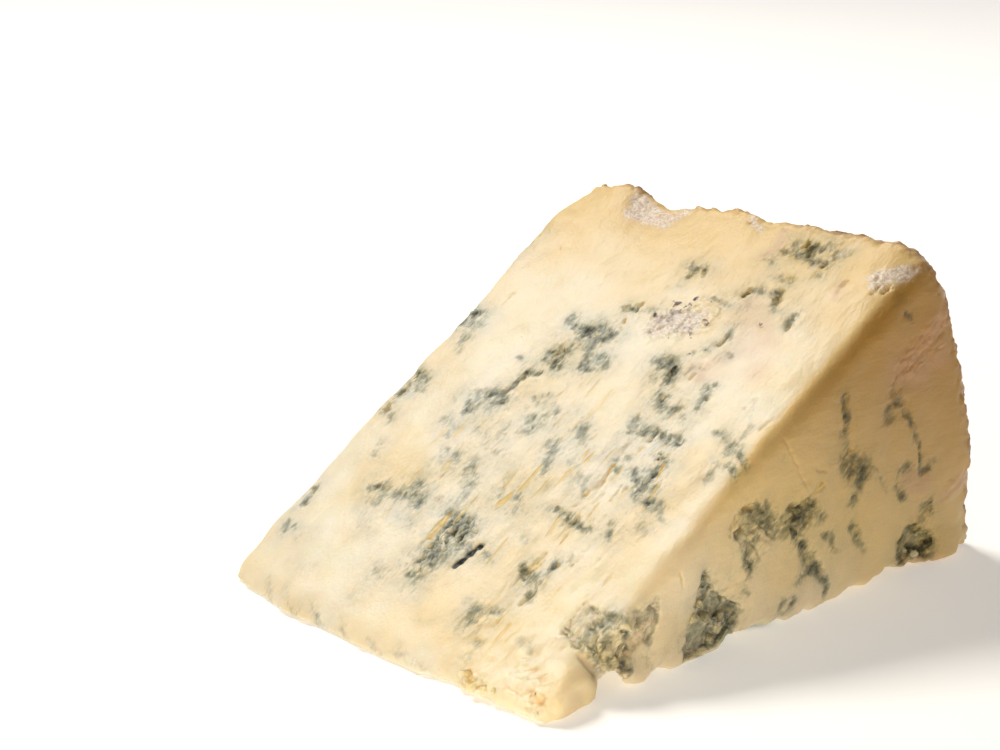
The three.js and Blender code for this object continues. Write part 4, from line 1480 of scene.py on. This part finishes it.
def add(
    tree: bpy.types.NodeTree, kind: str, inputs: dict | None = None, stops: tuple = (), **settings: str
) -> bpy.types.Node:
    """Adds a node with its settings, values and links.

    Args:
        tree: The node tree that it goes into.
        kind: The node's type name.
        inputs: For each input, by name or number, its value, hex colour or the output linked to it.
        stops: The stops of a colour ramp, each a place and a hex colour or a grey share.
        **settings: The node's own properties.

    Returns:
        The node.
    """
    made = tree.nodes.new(kind)
    for name, value in settings.items():
        setattr(made, name, value)
    for name, value in (inputs or {}).items():
        if isinstance(value, Socket):
            tree.links.new(value, made.inputs[name])
        else:
            made.inputs[name].default_value = linear(value) if isinstance(value, str) else value
    # A ramp begins with two stops.
    for _ in stops[2:]:
        made.color_ramp.elements.new(0.5)
    for number, (place, tone) in enumerate(stops):
        element = made.color_ramp.elements[number]
        element.position = place
        element.color = linear(tone) if isinstance(tone, str) else (tone, tone, tone, 1)
    return made


class Way(Enum):
    """The way that a pattern lies: evenly, drawn out along the cut, combed along it, or crossing the end."""

    EVEN = "even"
    DRAWN = "drawn"
    COMBED = "combed"
    CROSSED = "crossed"


@dataclass(frozen=True)
class Pattern:
    """Noise of one length in the paste or on its skins.

    Attributes:
        way: The way that it lies.
        length: The length of its swells in millimetres.
        detail: How many finer layers it has.
        rough: How strong its finer layers are.
        stretch: Where it is made starker, the values that become 0 and 1.
    """

    way: Way
    length: float
    detail: float
    rough: float
    stretch: tuple[float, float] | None = None


@dataclass(frozen=True)
class Coat:
    """A colour that lies over those before it.

    Attributes:
        share: Where it shows, from 0 to 1.
        colour: The colour, an output or a hex value.
        strength: How much of it shows at the most.
        blend: How it is mixed in.
    """

    share: Socket | float
    colour: Socket | str
    strength: float = 1.0
    blend: str = "MIX"


@dataclass(frozen=True)
class Ground:
    """What the colours of the paste are drawn from.

    Attributes:
        tree: The material's node tree.
        layers: The mesh's attributes, by name.
        noise: The patterns of noise, by name.
    """

    tree: bpy.types.NodeTree
    layers: dict[str, Socket]
    noise: dict[str, Socket]

    def swung(self, value: Socket, noise: Socket, swing: float) -> Socket:
        """A value that noise moves both ways.

        Args:
            value: The value.
            noise: The noise, from 0 to 1.
            swing: How far the noise moves it from end to end.

        Returns:
            The moved value.
        """
        centred = add(self.tree, "ShaderNodeMath", {0: noise, 1: 0.5}, operation="SUBTRACT").outputs[0]
        inputs = {0: centred, 1: swing, 2: value}
        return add(self.tree, "ShaderNodeMath", inputs, operation="MULTIPLY_ADD").outputs[0]

    def thinned(self, value: Socket, noise: Socket, least: float, swing: float) -> Socket:
        """A share that noise thins out.

        Args:
            value: The share.
            noise: The noise, from 0 to 1.
            least: How much of the share is left where the noise is 0.
            swing: How much more is left where it is 1.

        Returns:
            The thinned share.
        """
        amount = add(self.tree, "ShaderNodeMath", {0: noise, 1: swing, 2: least}, operation="MULTIPLY_ADD")
        inputs = {0: value, 1: amount.outputs[0]}
        return add(self.tree, "ShaderNodeMath", inputs, operation="MULTIPLY").outputs[0]

    def ragged(self, value: Socket, noise: Socket, swing: float, low: float, high: float) -> Socket:
        """A share with a ragged edge: the value with noise added, cut off below low and full above high."""
        inputs = {"Value": self.swung(value, noise, swing), "From Min": low, "From Max": high}
        return add(self.tree, "ShaderNodeMapRange", inputs, interpolation_type="SMOOTHSTEP").outputs["Result"]


@dataclass(frozen=True)
class VeinedPaste:
    """Ripe cow's-milk curd with blue mould in it, cut by a blade.

    It is soft and moist, so light goes a few millimetres in and comes out warm, its gloss is broad
    and low, and every vein has a smoky edge. The rind of the same wheel is dry, dull and mottled.
    The finest patterns are drawn at half a millimetre, coarser than real curd grain, since finer
    ones wouldn't show.
    """

    cream: str = "#fcf1da"
    straw: str = "#f9e4ba"
    # Straw by the rind is ripening; the darker gold is painted shade on the near end.
    ripe_and_end_shade: str = "#ebcd8e"
    shaded_end_gold: str = "#b78b42"
    haze: str = "#c6d4dd"
    smoke: str = "#cbd2d1"
    slate: str = "#a2aaa9"
    moss: str = "#798281"
    pitch: str = "#50575a"
    # Near black of the open gaps: mould, with painted shade of their depth
    gap_black_and_shade: str = "#262b27"
    # Golden tear colours, slit to amber to brown: a painted glow of light scattered through the paste, brown
    # at the deepest as painted shade. Amber also colours the dried craters.
    slit_glow: str = "#e8c870"
    amber: str = "#dfb85c"
    deep_tear_shade: str = "#ac8a42"
    blush: str = "#cb9c82"
    bloom_and_glints: str = "#f6efe6"
    dust: str = "#cdb5a6"
    crust: str = "#5d4b4a"
    rind: str = "#b98e60"
    bark: str = "#7f5f45"
    chalk: str = "#e2d2c4"
    roughness: float = 0.48
    ior: float = 1.45
    light_depth: float = 1.1
    light_weight: float = 0.6
    light_radius: tuple[float, float, float] = (1.7, 1.25, 0.7)
    bump_depth: float = 0.18
    bump_strength: float = 0.7
    drawn_scale: float = 0.45
    combed_scale: float = 0.13
    crossed_scale: float = 0.3
    crossed_angle: float = math.radians(45)
    LAYERS: ClassVar[tuple[str, ...]] = (
        "ripe_and_end_shade", "blush", "amber", "haze", "mould", "combed", "tear", "gap", "crust", "bloom_and_glints", "rind", "end",
    )
    PATTERNS: ClassVar[dict[str, Pattern]] = {
        "patches": Pattern(Way.EVEN, 16.0, 2, 0.5),
        "cloud": Pattern(Way.EVEN, 4.0, 3, 0.6),
        "mottle": Pattern(Way.EVEN, 3.6, 5, 0.72),
        "smoke": Pattern(Way.EVEN, 3.0, 3, 0.6, (0.30, 0.70)),
        "powder": Pattern(Way.EVEN, 1.5, 4, 0.7),
        "fine": Pattern(Way.EVEN, 0.5, 3, 0.7),
        "strands": Pattern(Way.DRAWN, 1.5, 4, 0.68, (0.36, 0.66)),
        "grain": Pattern(Way.DRAWN, 0.7, 3, 0.6),
        "grit": Pattern(Way.DRAWN, 0.6, 3, 0.6, (0.30, 0.70)),
        "slits": Pattern(Way.COMBED, 0.9, 0, 0.5, (0.65, 0.72)),
        "wrinkles": Pattern(Way.CROSSED, 0.9, 2, 0.5),
    }

    def make(self) -> bpy.types.Material:
        """Makes the material.

        Returns:
            The material, which reads the attributes of the mesh and its object coordinates.
        """
        material = bpy.data.materials.new("blue_veined_paste")
        material.use_nodes = True
        tree = material.node_tree
        tree.nodes.clear()
        ground = self.ground(tree)
        mould = self.mould(ground)
        inputs = {0: ground.noise["slits"], 1: ground.layers["combed"]}
        slits = add(tree, "ShaderNodeMath", inputs, operation="MULTIPLY").outputs[0]
        # The combed slits are painted golden, a painted glow of light through the paste.
        coats = [
            *self.ripening(ground), *self.veins(ground, mould), Coat(slits, self.slit_glow, 0.8),
            *self.openings(ground), *self.skins(ground),
        ]

        height = self.height(ground, mould, slits)
        bump = {"Strength": self.bump_strength, "Distance": self.bump_depth * MM, "Height": height}
        shader = add(
            tree,
            "ShaderNodeBsdfPrincipled",
            {
                "Base Color": self.colour(ground, coats),
                "Roughness": self.roughness,
                "IOR": self.ior,
                "Subsurface Weight": self.light_weight,
                "Subsurface Radius": self.light_radius,
                "Subsurface Scale": self.light_depth * MM,
                "Normal": add(tree, "ShaderNodeBump", bump).outputs["Normal"],
            },
        )
        end = add(tree, "ShaderNodeOutputMaterial", {"Surface": shader.outputs["BSDF"]})
        end.is_active_output = True
        return material

    def ground(self, tree: bpy.types.NodeTree) -> Ground:
        """Adds what the colours are drawn from.

        Args:
            tree: The node tree.

        Returns:
            The mesh's attributes and the patterns of noise.
        """
        place = add(tree, "ShaderNodeTexCoord").outputs["Object"]
        turned = add(tree, "ShaderNodeMapping", {"Vector": place, "Rotation": (-CUT_ANGLE, 0, 0)}).outputs[0]
        mappings = {
            Way.DRAWN: {"Vector": turned, "Scale": (1, self.drawn_scale, 1)},
            Way.COMBED: {"Vector": turned, "Scale": (1, self.combed_scale, 1)},
            Way.CROSSED: {
                "Vector": place, "Rotation": (self.crossed_angle, 0, 0), "Scale": (1, self.crossed_scale, 1),
            },
        }
        ways = {way: add(tree, "ShaderNodeMapping", inputs).outputs[0] for way, inputs in mappings.items()}
        ways[Way.EVEN] = place
        layers = {
            name: add(tree, "ShaderNodeAttribute", attribute_name=name).outputs["Fac"] for name in self.LAYERS
        }
        noise = {}
        for name, pattern in self.PATTERNS.items():
            inputs = {
                "Vector": ways[pattern.way],
                "Scale": 1 / (pattern.length * MM),
                "Detail": pattern.detail,
                "Roughness": pattern.rough,
            }
            noise[name] = add(tree, "ShaderNodeTexNoise", inputs).outputs["Fac"]
            if pattern.stretch:
                low, high = pattern.stretch
                inputs = {"Value": noise[name], "From Min": low, "From Max": high}
                noise[name] = add(tree, "ShaderNodeMapRange", inputs).outputs["Result"]
        return Ground(tree, layers, noise)

    def colour(self, ground: Ground, coats: list[Coat]) -> Socket:
        """Lays every coat over the bare paste, which runs from cream to straw.

        Args:
            ground: What the colours are drawn from.
            coats: The coats, the lowest first.

        Returns:
            The colour.
        """
        patches = {"Fac": ground.noise["patches"]}
        bare = add(ground.tree, "ShaderNodeValToRGB", patches, ((0.38, self.cream), (0.66, self.straw)))
        colour = bare.outputs["Color"]
        for coat in coats:
            share = coat.share
            if coat.strength < 1:
                inputs = {0: share, 1: coat.strength}
                share = add(ground.tree, "ShaderNodeMath", inputs, operation="MULTIPLY").outputs[0]
            inputs = {0: share, 6: colour, 7: coat.colour}
            mixed = add(ground.tree, "ShaderNodeMix", inputs, data_type="RGBA", blend_type=coat.blend)
            colour = mixed.outputs[2]
        return colour

    def ripening(self, ground: Ground) -> list[Coat]:
        """The paste's tones: ripe straw by the rind, a darker gold over the near end as painted shade,
        blushed and amber in spots.

        Args:
            ground: What the colours are drawn from.

        Returns:
            The coats.
        """
        ripe_and_end_shade = {"Fac": ground.layers["ripe_and_end_shade"]}
        tone = add(ground.tree, "ShaderNodeValToRGB", ripe_and_end_shade, ((0.45, self.ripe_and_end_shade), (1.0, self.shaded_end_gold)))
        share = add(ground.tree, "ShaderNodeValToRGB", ripe_and_end_shade, ((0.0, 0.0), (0.45, 1.0)))
        cloud = ground.noise["cloud"]
        return [
            Coat(share.outputs["Color"], tone.outputs["Color"]),
            Coat(ground.thinned(ground.layers["blush"], cloud, 0.2, 0.9), self.blush),
            Coat(ground.ragged(ground.layers["amber"], cloud, 0.7, 0.25, 1.0), self.amber, 0.8),
        ]

    def mould(self, ground: Ground) -> Socket:
        """How deep the mould is: drawn-out strands, with grains of it in the haze around them.

        Args:
            ground: What the colours are drawn from.

        Returns:
            The depth, from 0 to 1.
        """
        clumps = ground.thinned(ground.layers["mould"], ground.noise["strands"], 0.10, 0.98)
        grains = ground.thinned(ground.layers["haze"], ground.noise["grit"], -0.20, 0.44)
        return add(ground.tree, "ShaderNodeMath", {0: clumps, 1: grains}, operation="ADD").outputs[0]

    def veins(self, ground: Ground, mould: Socket) -> list[Coat]:
        """The tints of the mould: a smoky haze, and strands in it with dark cores.

        Args:
            ground: What the colours are drawn from.
            mould: How deep the mould is.

        Returns:
            The coats.
        """
        haze = ground.thinned(ground.layers["haze"], ground.noise["smoke"], 0.12, 0.66)
        inputs = {0: haze, 6: "#ffffff", 7: self.haze}
        smoky = add(ground.tree, "ShaderNodeMix", inputs, data_type="RGBA").outputs[2]
        stops = (
            (0.05, "#ffffff"), (0.3, self.smoke), (0.55, self.slate), (0.8, self.moss), (1.0, self.pitch),
        )
        strands = add(ground.tree, "ShaderNodeValToRGB", {"Fac": mould}, stops).outputs["Color"]
        return [Coat(1.0, smoky, blend="MULTIPLY"), Coat(1.0, strands, blend="MULTIPLY")]

    def openings(self, ground: Ground) -> list[Coat]:
        """The tears, golden inside as a painted glow of light through the paste and brown at their deepest as
        painted shade, and the open gaps, near black with mould and painted shade.

        Args:
            ground: What the colours are drawn from.

        Returns:
            The coats.
        """
        torn = {"Fac": ground.layers["tear"]}
        stops = ((0.25, self.slit_glow), (0.6, self.amber), (1.0, self.deep_tear_shade))
        inside = add(ground.tree, "ShaderNodeValToRGB", torn, stops)
        tear = add(ground.tree, "ShaderNodeValToRGB", torn, ((0.12, 0.0), (0.5, 0.85), (1.0, 1.0)))
        gap = add(ground.tree, "ShaderNodeValToRGB", {"Fac": ground.layers["gap"]}, ((0.2, 0.0), (0.55, 1.0)))
        return [
            # Painted glow of light through the torn paste, brown at its deepest as painted shade
            Coat(tear.outputs["Color"], inside.outputs["Color"]),
            # Painted shade with mould: the gaps and what lies deep in them, near black
            Coat(gap.outputs["Color"], self.gap_black_and_shade),
        ]

    def skins(self, ground: Ground) -> list[Coat]:
        """What has dried, and a few painted glints: crusty specks, powdery bloom, and the rind.

        Args:
            ground: What the colours are drawn from.

        Returns:
            The coats.
        """
        layers = ground.layers
        noise = ground.noise
        stops = ((0.40, self.dust), (0.56, self.bloom_and_glints))
        powdered = add(ground.tree, "ShaderNodeValToRGB", {"Fac": noise["fine"]}, stops)
        stops = ((0.36, self.bark), (0.52, self.rind), (0.64, self.chalk))
        bark = add(ground.tree, "ShaderNodeValToRGB", {"Fac": noise["mottle"]}, stops)
        bloom_and_glints = ground.ragged(layers["bloom_and_glints"], noise["powder"], 0.9, 0.25, 0.9)
        return [
            Coat(ground.ragged(layers["crust"], noise["fine"], 0.9, 0.28, 0.62), self.crust),
            # Powdery bloom, and a few painted glints on the near end
            Coat(bloom_and_glints, powdered.outputs["Color"], 0.8),
            Coat(layers["rind"], bark.outputs["Color"]),
        ]

    def height(self, ground: Ground, mould: Socket, slits: Socket) -> Socket:
        """The finest relief: curd grain, wrinkles across the near end, and sunken slits and veins.

        Args:
            ground: What it is drawn from.
            mould: How deep the mould is.
            slits: Where the slits are.

        Returns:
            The height for the bump.
        """
        inputs = {0: ground.layers["end"], 6: ground.noise["grain"], 7: ground.noise["wrinkles"]}
        grain = add(ground.tree, "ShaderNodeMix", inputs, data_type="RGBA").outputs[2]
        height = ground.swung(grain, ground.noise["fine"], 0.6)
        height = ground.swung(height, slits, -0.9)
        return ground.swung(height, mould, -0.8)


@dataclass(frozen=True)
class Lamp:
    """A square soft light: where it lies, how large and how strong it is, and its colour.

    The direction is from the wedge, the distance and the side are in metres, the power in watts.
    """

    name: str
    direction: tuple[float, float, float]
    distance: float
    side: float
    power: float
    colour: str


LAMPS = (
    Lamp("key", (-0.55, 0.04, 0.80), 0.9, 0.30, 6.8, "#fffaf2"),
    Lamp("front", (0.54, -0.84, 0.08), 0.20, 0.12, 0.22, "#fff0d4"),
    Lamp("back", (0.25, 0.85, 0.5), 0.8, 0.5, 0.9, "#fffaf4"),
)


@dataclass
class Studio:
    """The pale floor, the soft lights and the camera at the photograph's angle."""

    azimuth: float = 47.05
    elevation: float = 17.73
    focal_pixels: float = 2202.0
    image_width: float = 1000.0
    sensor: float = 36.0
    eye: tuple[float, float, float] = (233.35, -240.25, 139.4)
    floor_size: float = 6.0
    floor_colour: str = "#f4f2ee"
    floor_roughness: float = 0.9
    floor_glow: float = 0.30
    surround_colour: str = "#fffdfa"
    surround: float = 0.14

    def build(self) -> None:
        """Makes the floor, the lights, the world and the camera."""
        self.lay_floor()
        self.set_surround()
        for lamp in LAMPS:
            self.light(lamp)
        self.place_camera()

    def lay_floor(self) -> None:
        """Lays a plain pale floor, wide enough that its rim is out of the picture."""
        bpy.ops.object.select_all(action="DESELECT")
        bpy.ops.mesh.primitive_circle_add(vertices=64, radius=self.floor_size, fill_type="NGON")
        floor = bpy.context.active_object
        floor.name = "floor"
        material = bpy.data.materials.new("matt_white_card")
        material.use_nodes = True
        shader = material.node_tree.nodes["Principled BSDF"]
        shader.inputs["Base Color"].default_value = linear(self.floor_colour)
        shader.inputs["Emission Color"].default_value = linear("#ffffff")
        shader.inputs["Emission Strength"].default_value = self.floor_glow
        shader.inputs["Roughness"].default_value = self.floor_roughness
        floor.data.materials.append(material)

    def set_surround(self) -> None:
        """Makes the world a pale even light."""
        world = bpy.data.worlds.new("pale_surround")
        bpy.context.scene.world = world
        world.use_nodes = True
        background = world.node_tree.nodes["Background"]
        background.inputs["Color"].default_value = linear(self.surround_colour)
        background.inputs["Strength"].default_value = self.surround

    def light(self, lamp: Lamp) -> None:
        """Adds a lamp that faces the wedge and isn't seen itself."""
        bpy.ops.object.light_add(type="AREA")
        made = bpy.context.active_object
        made.name = lamp.name
        direction = Vector(lamp.direction).normalized()
        made.location = direction * lamp.distance
        made.rotation_mode = "QUATERNION"
        made.rotation_quaternion = direction.to_track_quat("Z", "Y")
        made.data.size = lamp.side
        made.data.energy = lamp.power
        made.data.color = linear(lamp.colour)[:3]
        made.visible_camera = False

    def place_camera(self) -> None:
        """Puts the camera where the photograph was taken from."""
        bpy.ops.object.camera_add(location=Vector(self.eye) * MM)
        camera = bpy.context.active_object
        a, e = math.radians(self.azimuth), math.radians(self.elevation)
        back = Vector((math.sin(a) * math.cos(e), -math.cos(a) * math.cos(e), math.sin(e)))
        camera.rotation_mode = "QUATERNION"
        camera.rotation_quaternion = (-back).to_track_quat("-Z", "Y")
        camera.data.sensor_width = self.sensor
        camera.data.lens = self.focal_pixels * self.sensor / self.image_width
        camera.data.clip_start = 0.01
        bpy.context.scene.camera = camera
        bpy.context.scene.view_settings.view_transform = "Standard"


def finish(piece: bpy.types.Object, paste: bpy.types.Material) -> None:
    """Gives a piece its finish, fixes it to the body and reports it."""
    piece.data.materials.clear()
    piece.data.materials.append(paste)
    select_only(piece)
    bpy.ops.object.shade_smooth()
    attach(piece, BODY)
    log.info("%s: %d triangles", piece.name, len(piece.data.polygons))


def main() -> None:
    """Builds the studio, the wedge and its crumbs."""
    logging.basicConfig(level=logging.INFO, format="%(name)s: %(message)s")
    Studio().build()
    paste = VeinedPaste().make()
    wedge = Wedge().build()
    crumbs = Crumbs().build(wedge)
    finish(wedge, paste)
    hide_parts(NODE)
    finish(crumbs, paste)


if __name__ == "__main__":
    main()
